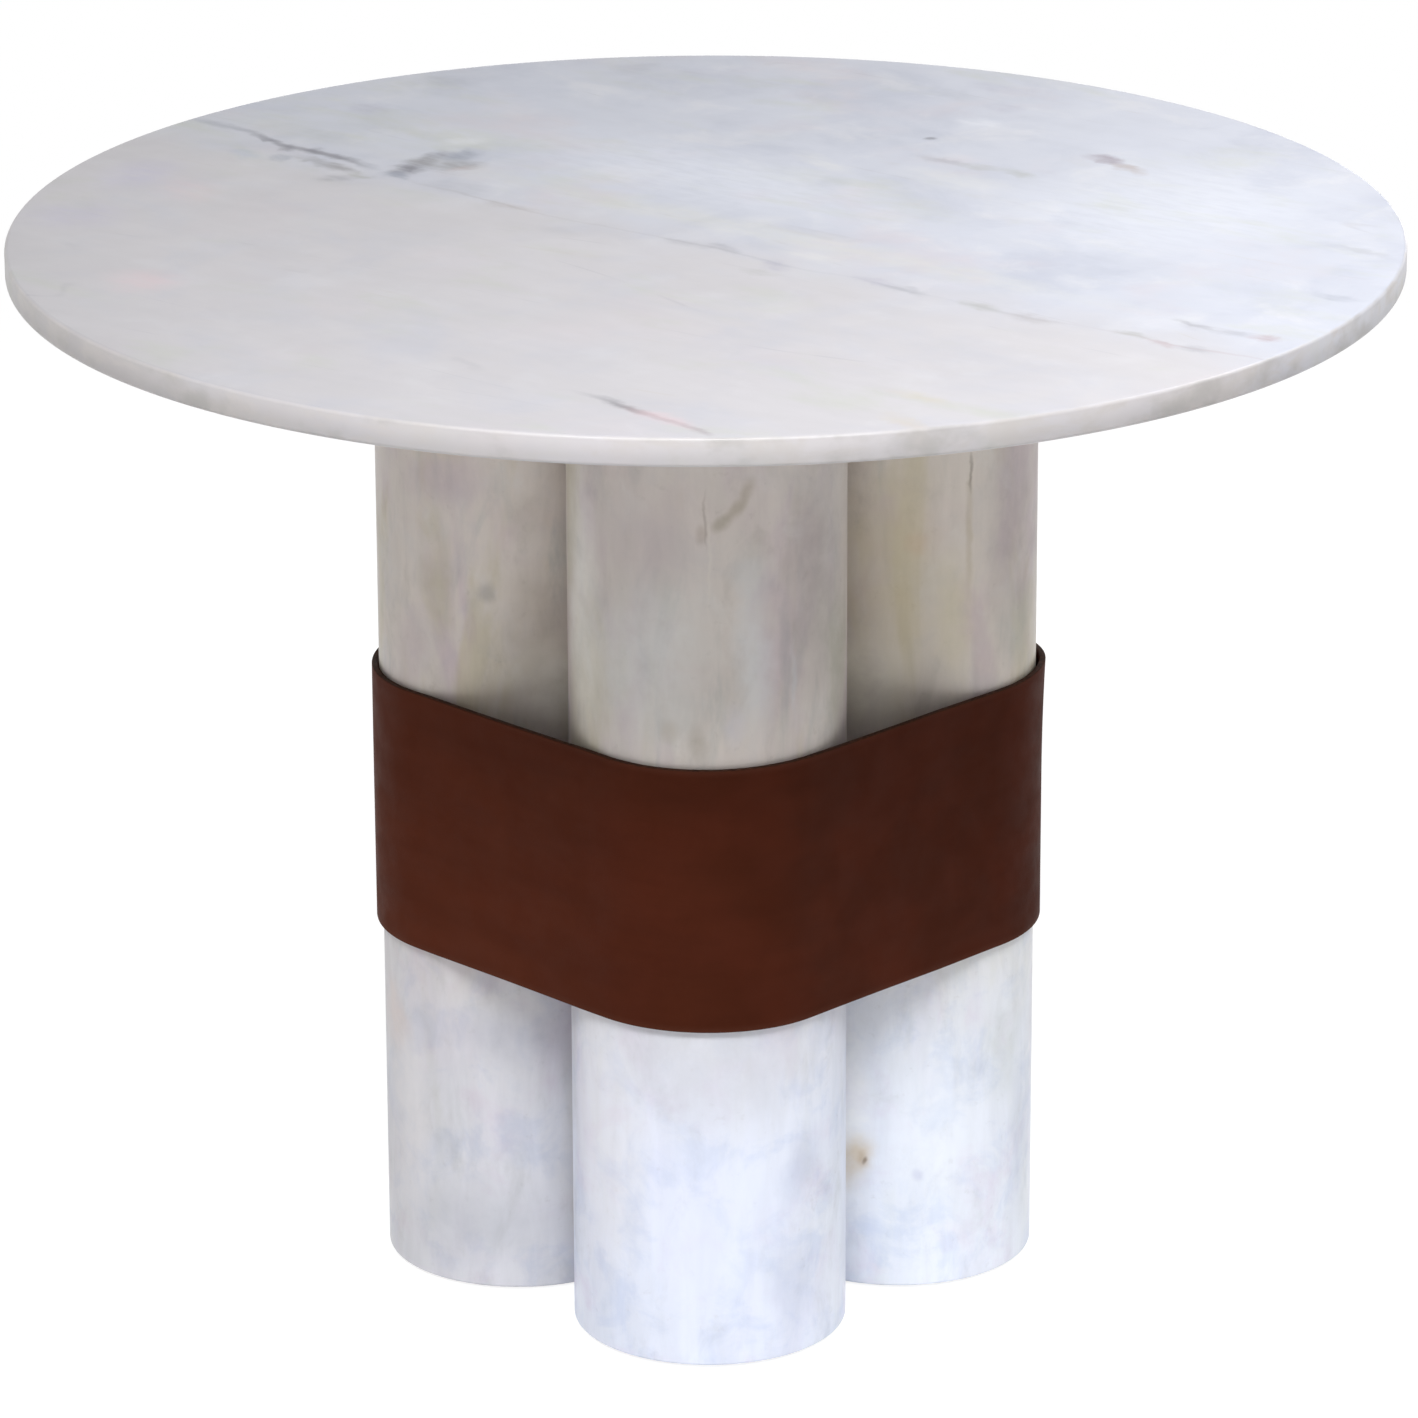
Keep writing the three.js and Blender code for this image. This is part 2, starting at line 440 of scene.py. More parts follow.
def veiled(
    ground: Signal, veils: Sequence[Veil], shares: Mapping[Zone, Signal], colour: Signal
) -> Signal:
    """Lay veils over a stone, each in its zone.

    Args:
        ground: Coordinates that the noise is laid in.
        veils: The veils, the lowest first.
        shares: How much shows at each place, for each zone but ALL.
        colour: The stone so far.

    Returns:
        The veiled stone.
    """
    for veil in veils:
        colour = veil.lay(ground, shares.get(veil.zone), colour)
    return colour


@dataclass(frozen=True)
class Hairlines:
    """Thin broken lines along the grain, which show where a veil does."""

    veil: Veil
    stretch: Triple
    width: float
    bend: float
    shift: Triple = NO_SHIFT

    def draw(self, grain: Signal, colour: Signal) -> Signal:
        """Draw the lines where noise crosses its middle value.

        Args:
            grain: Coordinates that follow the grain.
            colour: The stone so far.

        Returns:
            The stone with the lines.
        """
        sheet = grain.sheet
        ground = sheet.placed(grain, self.shift, scale=self.stretch)
        course = sheet.noise(ground, 1.0, 1.0, 0.5, self.bend)
        line = sheet.step(abs(course - 0.5), 0.0, self.width, 1.0, 0.0)
        return self.veil.lay(grain, line, colour)


@dataclass(frozen=True)
class Vein:
    """A thin vein of the slab, drawn in coordinates that follow the stone's grain.

    Each point has its place along the vein, its place across it, its strength from 0 to 1,
    and its half width. Each tint has its place along the vein and its colour. A ramp holds
    values from 0 to 1, so the place across is stored with the offset added, and the half
    width as a share of the widest.
    """

    points: tuple[tuple[float, float, float, float], ...]
    tints: tuple[tuple[float, Colour], ...]
    offset: float = 0.5
    widest: float = 0.05
    fraying: float = 1.1

    def draw(self, along: Signal, across: Signal, broken: Signal, colour: Signal) -> Signal:
        """Draw the vein over the stone.

        Args:
            along: Place along the grain, with its wandering.
            across: Place across the grain, with its wandering.
            broken: Noise that breaks the vein up.
            colour: The stone so far.

        Returns:
            The stone with the vein.
        """
        sheet = along.sheet
        start, end = self.points[0][0], self.points[-1][0]
        span = end - start
        share = (along - start) / span
        course = [
            ((place - start) / span, (side_place + self.offset, strength, width / self.widest))
            for place, side_place, strength, width in self.points
        ]
        tints = [((place - start) / span, tint) for place, tint in self.tints]
        middle, strength, width = sheet.channels(sheet.ramp(share, course))
        reach = abs(across - middle + self.offset) / (width * self.widest)
        ragged = reach + (broken - 0.5) * self.fraying
        mask = sheet.step(ragged, 0.0, 1.0, 1.0, 0.0) * strength
        return sheet.mix(mask, colour, sheet.ramp(share, tints))


@dataclass(frozen=True)
class Stroke:
    """A soft stroke or cloud on the slab, placed along and across the stone's grain."""

    along: float
    across: float
    half_length: float
    half_width: float
    tint: Colour
    strength: float
    turn: float = 0.0


@dataclass(frozen=True)
class Patch:
    """A soft patch in a column, leaned over about the axis from front to back.

    Its tint is as a screen shows it, from 0 to 255.
    """

    place: Triple
    size: Triple
    tint: tuple[int, int, int]
    strength: float
    lean: float = 0.0


GRAPHITE = tone(97, 97, 109)
SLATE = tone(126, 132, 148)
LAVENDER = tone(140, 137, 162)
ASH = tone(150, 150, 158)
MOSS = tone(134, 136, 122)
UMBER = tone(138, 126, 122)
ROSE = tone(148, 112, 116)
SAND = tone(196, 180, 156)
LILAC = tone(178, 173, 202)
BLUSH = tone(214, 184, 190)
MILK = tone(230, 231, 236)
IVORY = tone(226, 223, 210)

VEINS = (
    Vein(
        (
            (-0.478, 0.008, 0.1, 0.006), (-0.462, 0.006, 0.4, 0.008), (-0.42, 0.004, 0.5, 0.007),
            (-0.392, -0.004, 0.6, 0.005), (-0.377, -0.01, 0.7, 0.006), (-0.35, -0.008, 0.7, 0.006),
            (-0.324, -0.009, 0.7, 0.005), (-0.298, -0.014, 0.4, 0.004), (-0.282, -0.016, 0.0, 0.004),
            (-0.225, -0.03, 0.12, 0.004), (-0.199, -0.028, 0.2, 0.004), (-0.162, -0.033, 0.25, 0.003),
            (-0.135, -0.036, 0.25, 0.003), (-0.11, -0.04, 0.12, 0.003), (-0.02, -0.035, 0.14, 0.003),
            (0.01, -0.033, 0.25, 0.003), (0.055, -0.034, 0.2, 0.003), (0.09, -0.04, 0.25, 0.004),
            (0.11, -0.038, 0.12, 0.003), (0.15, -0.032, 0.1, 0.003), (0.199, -0.036, 0.3, 0.004),
            (0.23, -0.036, 0.05, 0.003), (0.27, -0.037, 0.3, 0.004), (0.31, -0.038, 0.3, 0.004),
            (0.34, -0.034, 0.05, 0.003), (0.38, -0.029, 0.25, 0.003), (0.41, -0.034, 0.25, 0.003),
            (0.44, -0.03, 0.2, 0.003), (0.479, -0.022, 0.1, 0.003),
        ),
        ((-0.478, SLATE), (-0.38, GRAPHITE), (-0.1, UMBER), (0.09, SLATE), (0.3, ASH), (0.41, ROSE)),
    ),
    Vein(
        (
            (0.155, -0.35, 0.0, 0.003), (0.181, -0.35, 0.25, 0.005), (0.203, -0.354, 0.65, 0.007),
            (0.222, -0.358, 0.75, 0.007), (0.245, -0.361, 0.5, 0.005), (0.268, -0.366, 0.5, 0.005),
            (0.289, -0.37, 0.5, 0.006), (0.298, -0.372, 0.0, 0.006),
        ),
        (
            (0.155, ASH), (0.21, tone(104, 100, 108)), (0.24, tone(142, 118, 122)),
            (0.29, tone(140, 128, 136)),
        ),
    ),
)

SLAB_STROKES: tuple[tuple[Any, ...], ...] = (
    # The dark broken vein at the left and the cloud that crosses it
    (-0.398, -0.003, 0.02, 0.0065, GRAPHITE, 0.67, -0.35),
    (-0.372, -0.012, 0.014, 0.009, GRAPHITE, 0.92, -0.5),
    (-0.35, -0.009, 0.014, 0.011, GRAPHITE, 0.79),
    (-0.327, -0.01, 0.03, 0.0085, GRAPHITE, 0.76, -0.05),
    (-0.297, -0.015, 0.026, 0.009, SLATE, 0.43, -0.25),
    (-0.338, -0.027, 0.022, 0.009, tone(126, 124, 128), 0.66),
    (-0.31, -0.031, 0.03, 0.009, tone(126, 124, 128), 0.8, -0.15),
    (-0.279, -0.038, 0.018, 0.01, MOSS, 0.55, -0.2),
    (-0.286, -0.055, 0.02, 0.016, GRAPHITE, 0.33, 0.4),
    (-0.358, -0.038, 0.012, 0.014, SLATE, 0.73, 0.6),
    (-0.382, -0.046, 0.02, 0.014, tone(150, 164, 190), 0.35, -0.5),
    (-0.273, 0.026, 0.016, 0.03, GRAPHITE, 0.97, 0.12),
    (-0.264, -0.002, 0.017, 0.03, GRAPHITE, 0.97, 0.2),
    (-0.258, -0.02, 0.018, 0.016, SLATE, 0.79, 0.3),
    (-0.259, 0.045, 0.015, 0.026, SLATE, 0.92, -0.1),
    (-0.245, 0.022, 0.021, 0.027, GRAPHITE, 0.76, -0.5),
    (-0.236, 0.018, 0.01, 0.012, ROSE, 0.35),
    (-0.2, -0.022, 0.038, 0.024, SLATE, 0.29, -0.3),
    # The faint dashes that carry it on to the right
    (-0.145, -0.035, 0.032, 0.009, UMBER, 0.3, -0.05),
    (-0.078, -0.064, 0.024, 0.011, ASH, 0.16),
    (0.005, -0.033, 0.024, 0.01, GRAPHITE, 0.24),
    (0.038, -0.032, 0.024, 0.01, GRAPHITE, 0.26, -0.1),
    (0.09, -0.041, 0.02, 0.013, LAVENDER, 0.42, -0.4),
    (0.093, -0.061, 0.022, 0.01, MOSS, 0.26),
    (0.17, -0.032, 0.026, 0.012, LAVENDER, 0.3, -0.1),
    (0.198, -0.037, 0.028, 0.011, GRAPHITE, 0.3, -0.1),
    (0.262, -0.037, 0.024, 0.011, MOSS, 0.38, -0.1),
    (0.303, -0.038, 0.028, 0.011, UMBER, 0.38),
    (0.378, -0.029, 0.024, 0.008, MOSS, 0.34),
    (0.409, -0.034, 0.016, 0.008, ROSE, 0.34, -0.2),
    (0.433, -0.031, 0.02, 0.008, GRAPHITE, 0.28),
    (0.398, 0.015, 0.024, 0.008, GRAPHITE, 0.32, -0.1),
    (0.427, 0.014, 0.024, 0.008, GRAPHITE, 0.32),
    (0.452, 0.018, 0.014, 0.012, ROSE, 0.58, 0.3),
    (0.434, 0.125, 0.03, 0.011, SLATE, 0.38),
    (0.385, 0.228, 0.04, 0.009, ASH, 0.36),
    # Marks of the far side
    (-0.312, 0.312, 0.02, 0.032, SLATE, 0.26, -0.3),
    (-0.4, 0.2, 0.034, 0.024, SLATE, 0.26),
    (-0.395, 0.105, 0.024, 0.02, LAVENDER, 0.36, -0.3),
    (-0.08, 0.395, 0.034, 0.018, SLATE, 0.24, -0.2),
    (-0.03, 0.388, 0.022, 0.018, LAVENDER, 0.28),
    (-0.065, 0.43, 0.034, 0.016, LAVENDER, 0.26),
    (-0.018, 0.286, 0.0065, 0.0085, GRAPHITE, 0.72),
    (0.022, 0.243, 0.03, 0.012, GRAPHITE, 0.34),
    (0.058, 0.246, 0.032, 0.012, MOSS, 0.34, 0.1),
    (0.086, 0.249, 0.022, 0.012, MOSS, 0.4, -0.3),
    (0.06, 0.205, 0.07, 0.024, IVORY, 0.22),
    (0.113, 0.316, 0.024, 0.013, tone(116, 96, 112), 0.74, -0.2),
    (0.139, 0.305, 0.024, 0.011, tone(142, 120, 108), 0.68, -0.35),
    (-0.003, 0.15, 0.024, 0.018, SLATE, 0.22, -0.3),
    # Marks of the near side
    (0.075, -0.345, 0.026, 0.008, ASH, 0.24, -0.3),
    (0.25, -0.362, 0.04, 0.012, BLUSH, 0.4, -0.15),
    (0.35, -0.225, 0.034, 0.01, SAND, 0.28),
    (0.375, -0.275, 0.034, 0.014, SAND, 0.34, -0.3),
    (-0.22, -0.33, 0.04, 0.034, BLUSH, 0.42),
    (-0.35, -0.14, 0.05, 0.03, BLUSH, 0.26, -0.6),
    (-0.405, -0.13, 0.036, 0.06, LILAC, 0.4, 0.3),
    (-0.37, -0.235, 0.05, 0.05, LILAC, 0.36, 0.3),
    # Pale clouds, and a painted reflection on the far right
    (0.02, 0.02, 0.46, 0.028, tone(204, 202, 188), 0.34),
    (-0.4, 0.028, 0.1, 0.03, tone(170, 172, 158), 0.3),
    # Painted reflection: a pale patch on the far right, where the lamps' gloss falls on the top.
    (0.22, 0.24, 0.15, 0.19, tone(222, 225, 234), 0.36),
    (-0.09, 0.11, 0.24, 0.095, tone(214, 217, 228), 0.5),
    (-0.283, 0.075, 0.016, 0.022, MILK, 0.34, -0.4),
    (-0.02, 0.34, 0.026, 0.02, MILK, 0.34),
    (-0.042, 0.188, 0.044, 0.015, IVORY, 0.26, -0.35),
    (0.1, -0.008, 0.04, 0.016, IVORY, 0.24),
)

SLAB_CLOUDS = (
    Veil(tone(174, 178, 193), (0.46, 0.72), 0.8, 11, bend=0.5, zone=Zone.FAR),
    Veil(tone(206, 206, 211), (0.5, 0.74), 0.6, 16, shift=(7.7, 2.9, 0), zone=Zone.FAR),
    Veil(tone(197, 184, 189), (0.51, 0.78), 0.55, 9, 4, 0.55, 0, (3.1, 1.7, 0), zone=Zone.FAR),
    Veil(tone(181, 184, 173), (0.52, 0.78), 0.6, 1, 4, 0.6, 0.3, (1.3, 6.1, 0), (8, 17, 10)),
)

# Partly painted shade: besides the stone's beige layers, these veils darken the whole upright side.
SIDE_LAYERS_AND_SHADE = (
    Veil(tone(188, 183, 181), (0.44, 0.66), 0.9, 1, 4, 0.6, 0.4, NO_SHIFT, (26, 26, 60), Zone.SIDE, 0.45),
    Veil(tone(166, 163, 161), (0.47, 0.68), 0.7, 1, 4, 0.55, 0, (3, 1, 0), (20, 20, 30), Zone.SIDE),
)

HAIRLINES = (
    Hairlines(
        Veil(tone(160, 158, 166), (0.48, 0.7), 0.34, 1, 3, 0.55, 0, (0.4, 0.9, 0), (18, 22, 9)),
        (1.1, 11, 1), 0.008, 0.25,
    ),
    Hairlines(
        Veil(tone(180, 172, 164), (0.55, 0.72), 0.26, 1, 3, 0.55, 0, (1.4, 7.9, 0), (15, 12, 9)),
        (1.4, 19, 1), 0.01, 0.2, (5, 2, 0),
    ),
)


@dataclass(frozen=True)
class PolishedSlabStone:
    """White marble of the slab, with soft veins that run along its grain."""

    radius: float
    face_height: float
    grain_angle: float = math.radians(38.3)
    cool: Colour = tone(189, 192, 204)
    warm: Colour = tone(190, 187, 191)
    gloss: float = 0.33

    def material(self) -> bpy.types.Material:
        """Build the material of the slab.

        Returns:
            The finished material.
        """
        sheet = NodeSheet.of_material("slab_marble")
        place = sheet.coordinates()
        grain = sheet.placed(place, rotation=(0.0, 0.0, self.grain_angle))
        along, across, _ = sheet.axes(grain)
        wander = sheet.noise(grain, 14.0, 2.0) - 0.5
        quiver = sheet.noise(grain, 95.0, 3.0, 0.6) - 0.5
        drift = wander * 0.012 + quiver * 0.005

        zone = sheet.step(across + wander * 0.10, -0.085, 0.045)
        colour = sheet.mix(zone, self.warm, self.cool)
        colour = veiled(grain, SLAB_CLOUDS, {Zone.FAR: 0.4 + zone * 0.6}, colour)
        streak = sheet.noise(sheet.placed(grain, scale=(9, 34, 34)), 1.0, 5.0, 0.6, 0.5)
        colour = sheet.shade(colour, sheet.step(streak, 0.25, 0.75, 0.97, 1.02))
        for lines in HAIRLINES:
            colour = lines.draw(grain, colour)
        broken = sheet.noise(sheet.placed(grain, scale=(34, 120, 60)), 1.0, 3.0, 0.62)
        for vein in VEINS:
            colour = vein.draw(along + drift, across + drift, broken, colour)
        colour = self._paint(grain, broken, colour)
        # Painted reflection and shade: the top is darker towards the left and lighter towards the right,
        # where the lamps' gloss falls, and a little darker still at the near left.
        colour = sheet.shade(colour, sheet.step(along + wander * 0.2, -0.6, 0.6, 0.765, 1.125))
        near = sheet.step(along * 0.5 + across, -0.62, -0.36, 0.93, 1.0)
        colour = self._edge(place, sheet.shade(colour, near))

        polish = sheet.noise(grain, 26.0, 4.0, 0.6)
        ripple = sheet.noise(grain, 9.0, 0.0)
        surface = {
            "Base Color": colour,
            "Roughness": sheet.step(polish, 0.2, 0.8, self.gloss - 0.03, self.gloss + 0.06),
            "Normal": sheet.bump(ripple, 0.0001),
            "IOR": STONE_IOR,
        }
        return sheet.close(surface)

    def _paint(self, grain: Signal, broken: Signal, colour: Signal) -> Signal:
        """Lay the single strokes and clouds, frayed by noise, over the stone; one of them is a painted
        reflection.

        Args:
            grain: Coordinates that follow the grain.
            broken: Noise that breaks the strokes up.
            colour: The stone so far.

        Returns:
            The stone with its strokes.
        """
        sheet = grain.sheet
        frayed = sheet.warped(sheet.warped(grain, 26.0, 0.011), 90.0, 0.006)
        worn = sheet.step(broken, 0.28, 0.66, 0.5, 1.05)
        for stroke in (Stroke(*row) for row in SLAB_STROKES):
            size = (stroke.half_length, stroke.half_width, 0.1)
            place = (stroke.along, stroke.across, self.face_height)
            mask = sheet.blot(frayed, place, size, (0.0, 0.0, stroke.turn))
            colour = sheet.mix(mask * worn * stroke.strength, colour, stroke.tint)
        return colour

    def _edge(self, place: Signal, colour: Signal) -> Signal:
        """Warm and darken the slab's side, partly with the cut stone's beige layers and partly as painted
        shade, and give it a painted highlight along its top and painted shade towards its bottom.

        Args:
            place: The slab's own coordinates.
            colour: The stone so far.

        Returns:
            The stone with its side.
        """
        sheet = place.sheet
        away = sheet.vectors("LENGTH", sheet.placed(place, scale=(1, 1, 0)))
        side = sheet.step(away, self.radius - 0.0022, self.radius - 0.0004)
        colour = veiled(place, SIDE_LAYERS_AND_SHADE, {Zone.SIDE: side}, colour)
        _, _, height = sheet.axes(place)
        # Painted highlight and shade: the side is lighter along its top and darker towards its bottom.
        level = sheet.step(height, self.face_height - 0.018, self.face_height - 0.003, -0.11, 0.10)
        return sheet.shade(colour, side * level + 1.0)


COLUMN_VEILS = (
    # Upright streaks of ochre, violet and grey
    Stain((0.87, 0.86, 0.7), (0.5, 0.7), 0.8, 1, 4, 0.55, 0.6, NO_SHIFT, (18, 18, 5.5), Zone.HIGH),
    Stain((0.89, 0.82, 0.93), (0.5, 0.7), 0.8, 1, 4, 0.5, 0.5, (2, 5, 1), (20, 20, 7.5), Zone.HIGH),
    Stain((0.74, 0.8, 0.82), (0.54, 0.74), 0.7, 1, 4, 0.6, 0.6, (6, 1, 3), (30, 30, 8), Zone.HIGH),
    # Bluish and rosy clouds, and a grey and a pale one
    Stain((0.86, 0.89, 0.95), (0.47, 0.7), 1, 26, 5, 0.62, 0.5, zone=Zone.LOW),
    Stain((0.95, 0.89, 0.93), (0.5, 0.74), 1, 19, shift=(5, 3, 7), zone=Zone.LOW),
    Stain((0.87, 0.87, 0.86), (0.5, 0.76), 1, 30, 5, 0.65, 0.4, (4, 0, 2), (1, 1, 0.6)),
    Veil(tone(220, 218, 214), (0.5, 0.74), 0.32, 24, 5, 0.65, 0.5, (1, 9, 4), (1, 1, 0.7), Zone.HEAD),
    # Small flecks
    Stain((0.86, 0.85, 0.84), (0.62, 0.78), 0.6, 120, 3, bend=0),
)


@dataclass(frozen=True)
class HonedColumnStone:
    """Marble of one column, with streaks that climb it, a few marks of its own, and patches of painted
    light and shade.

    A patch that is thinner than small keeps its outline. The others are pushed about more.
    """

    upper: Colour
    lower: Colour
    shift: Triple
    patches: tuple[Patch, ...]
    gloss: float = 0.4
    small: float = 0.012

    def material(self, name: str, axis: Vector) -> bpy.types.Material:
        """Build the material of the column.

        Args:
            name: Name of the material.
            axis: A point on the column's axis.

        Returns:
            The finished material.
        """
        sheet = NodeSheet.of_material(name)
        place = sheet.coordinates()
        local = sheet.placed(place, (-axis.x, -axis.y, 0.0))
        moved = sheet.placed(local, self.shift)
        _, _, height = sheet.axes(place)
        wander = sheet.noise(moved, 8.0, 3.0) - 0.5
        # Partly painted light: the colour goes from the lower one to the upper one, which is warmer as in
        # the slab's shade.
        rise = sheet.step(height + wander * 0.12, 0.12, 0.44)
        colour = sheet.mix(rise, self.lower, self.upper)
        fine = sheet.noise(sheet.placed(moved, scale=(58, 58, 12)), 1.0, 4.0, 0.6, 0.4)
        colour = sheet.shade(colour, sheet.step(fine, 0.25, 0.75, 0.95, 1.05))
        shares = {Zone.HIGH: 0.2 + rise * 0.8, Zone.LOW: 1.0 - rise * 0.6, Zone.HEAD: rise}
        colour = veiled(moved, COLUMN_VEILS, shares, colour)
        colour = self._paint(local, moved, colour)
        polish = sheet.noise(moved, 30.0, 4.0)
        tooth = sheet.noise(moved, 240.0, 3.0, 0.6)
        surface = {
            "Base Color": colour,
            "Roughness": sheet.step(polish, 0.25, 0.75, self.gloss - 0.05, self.gloss + 0.08),
            "Normal": sheet.bump(tooth, 0.00005),
            "IOR": STONE_IOR,
        }
        return sheet.close(surface)

    def _paint(self, local: Signal, moved: Signal, colour: Signal) -> Signal:
        """Lay the column's own marks, and its patches of painted light and shade, over the stone.

        Args:
            local: Coordinates from the foot of the column's axis.
            moved: Coordinates of its noise.
            colour: The stone so far.

        Returns:
            The stone with its marks and its painted light and shade.
        """
        sheet = local.sheet
        ragged = sheet.noise(moved, 60.0, 3.0, 0.6)
        kept = sheet.warped(local, 55.0, 0.0035)
        pushed = sheet.warped(sheet.warped(local, 18.0, 0.013), 70.0, 0.0035)
        worn = sheet.step(ragged, 0.2, 0.7, 0.6, 1.0)
        for patch in self.patches:
            ground = kept if patch.size[0] < self.small else pushed
            mask = sheet.blot(ground, patch.place, patch.size, (0.0, patch.lean, 0.0))
            colour = sheet.mix(mask * worn * patch.strength, colour, tone(*patch.tint))
        return colour


# Leather, metal, pads and the floor


@dataclass(frozen=True)
class WaxedLeather:
    """Dark brown waxed strap leather with dark cut edges, a painted highlight along its top and bottom
    edges, and painted light that makes it lighter and redder on the left.
    """

    foot: float
    head: float
    dark: Colour = tone(60, 25, 12)
    warm: Colour = tone(66, 28, 15)
    painted_left_light: Colour = tone(82, 38, 22)
    pore: Colour = tone(42, 20, 13)
    painted_edge_highlight: Colour = tone(88, 52, 40)
    raw: Colour = tone(48, 29, 21)
    raw_pale: Colour = tone(70, 44, 32)
    painted_edge_highlight_width: float = 0.006
    gloss: float = 0.6

    def material(self) -> bpy.types.Material:
        """Build the leather.

        Returns:
            The finished material.
        """
        sheet = NodeSheet.of_material("waxed_leather")
        place = sheet.coordinates()
        sideways, _, height = sheet.axes(place)
        patches = sheet.noise(place, 17.0, 3.0, 0.5, 0.3)
        colour = sheet.mix(sheet.step(patches, 0.38, 0.66), self.dark, self.warm)
        # Painted light: lighter and redder towards the left.
        painted_left_light = sheet.step(sideways + patches * 0.2, -0.16, 0.14, 0.8, 0.0)
        colour = sheet.mix(painted_left_light, colour, self.painted_left_light)
        drawn = sheet.noise(sheet.placed(place, scale=(9, 9, 44)), 1.0, 4.0, 0.6)
        colour = sheet.shade(colour, sheet.step(drawn, 0.25, 0.75, 0.93, 1.07))
        pores = sheet.add("ShaderNodeTexVoronoi", {"feature": "F1"}, {"Vector": place, "Scale": 900.0})
        pore = sheet.step(sheet.out(pores, "Distance"), 0.0, 0.35)
        colour = sheet.mix((1.0 - pore) * 0.16, colour, self.pore)
        # Painted highlight: a lighter strip along the top and bottom edges.
        margin = sheet.maths("MINIMUM", height - self.foot, self.head - height)
        colour = sheet.mix(sheet.step(margin, 0.0, self.painted_edge_highlight_width, 0.3, 0.0), colour, self.painted_edge_highlight)
        fibre = sheet.noise(place, 260.0, 3.0, 0.7)
        raw = sheet.mix(sheet.step(fibre, 0.3, 0.7), self.raw, self.raw_pale)
        _, _, upward = sheet.axes(sheet.out(sheet.add("ShaderNodeNewGeometry"), "Normal"))
        colour = sheet.mix(sheet.step(abs(upward), 0.45, 0.9), colour, raw)
        wax = sheet.noise(place, 40.0, 4.0, 0.6)
        creases = sheet.noise(place, 310.0, 5.0, 0.62)
        surface = {
            "Base Color": colour,
            "Roughness": sheet.step(wax, 0.3, 0.7, self.gloss - 0.07, self.gloss + 0.08),
            "Normal": sheet.bump(creases * 0.6 + pore * 0.4, 0.00016),
            "IOR": 1.45,
            "Specular IOR Level": 0.05,
        }
        return sheet.close(surface)


@dataclass(frozen=True)
class AgedBrass:
    """Brass of the binding posts, darkened by handling."""

    clean: Colour = tone(190, 158, 104)
    dull: Colour = tone(118, 92, 58)

    def material(self) -> bpy.types.Material:
        """Build the brass.

        Returns:
            The finished material.
        """
        sheet = NodeSheet.of_material("aged_brass")
        place = sheet.coordinates()
        film = sheet.noise(place, 220.0, 4.0, 0.6)
        turned = sheet.noise(sheet.placed(place, scale=(400, 400, 3200)), 1.0, 2.0)
        surface = {
            "Base Color": sheet.mix(sheet.step(film, 0.35, 0.7), self.clean, self.dull),
            "Metallic": 1.0,
            "Roughness": sheet.step(film, 0.3, 0.7, 0.28, 0.46),
            "Normal": sheet.bump(turned, 0.00002),
        }
        return sheet.close(surface)


@dataclass(frozen=True)
class SatinSteel:
    """Drawn steel of the dowels."""

    bright: Colour = tone(186, 188, 192)
    dull: Colour = tone(150, 152, 156)

    def material(self) -> bpy.types.Material:
        """Build the steel.

        Returns:
            The finished material.
        """
        sheet = NodeSheet.of_material("satin_steel")
        drawn = sheet.noise(sheet.placed(sheet.coordinates(), scale=(900, 900, 30)))
        surface = {
            "Base Color": sheet.mix(drawn, self.bright, self.dull),
            "Metallic": 1.0,
            "Roughness": sheet.step(drawn, 0.2, 0.8, 0.3, 0.44),
        }
        return sheet.close(surface)


@dataclass(frozen=True)
class SoftPad:
    """Dark rubbery sheet of the pads."""

    dark: Colour = tone(46, 44, 43)
    pale: Colour = tone(78, 75, 72)

    def material(self) -> bpy.types.Material:
        """Build the pad material.

        Returns:
            The finished material.
        """
        sheet = NodeSheet.of_material("soft_pad")
        grain = sheet.noise(sheet.coordinates(), 500.0, 3.0, 0.6)
        surface = {
            "Base Color": sheet.mix(grain * 0.4, self.dark, self.pale),
            "Roughness": sheet.step(grain, 0.2, 0.8, 0.78, 0.92),
            "Normal": sheet.bump(grain, 0.0001),
        }
        return sheet.close(surface)


@dataclass(frozen=True)
class PaleFloor:
    """Studio floor that looks white, keeps a faint shadow and fades to plain white far out."""

    bounce: Colour = (0.9, 0.895, 0.89)
    glow: float = 0.85
    veil: float = 0.34
    fade_start: float = 0.9
    fade_end: float = 2.6

    def material(self) -> bpy.types.Material:
        """Build the floor.

        Returns:
            The finished material.
        """
        sheet = NodeSheet.of_material("studio_floor")
        plain = sheet.add("ShaderNodeBsdfDiffuse", inputs={"Color": self.bounce})
        veil = sheet.add("ShaderNodeBsdfDiffuse", inputs={"Color": (self.veil,) * 3})
        glow = sheet.add("ShaderNodeEmission", inputs={"Color": WHITE, "Strength": self.glow})
        near = sheet.add("ShaderNodeAddShader", inputs={0: sheet.out(veil), 1: sheet.out(glow)})
        far = sheet.add("ShaderNodeEmission", inputs={"Color": WHITE, "Strength": 1.0})
        away = sheet.vectors("LENGTH", sheet.coordinates())
        white = sheet.blend(sheet.step(away, self.fade_start, self.fade_end), near, far)
        floor = sheet.blend(sheet.seen(), plain, white)
        sheet.add("ShaderNodeOutputMaterial", inputs={"Surface": sheet.out(floor)})
        return sheet.owner


# Meshes


def centre_of(node: str) -> Vector:
    """Give the middle of a node's box."""
    low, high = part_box(node)
    return (low + high) / 2


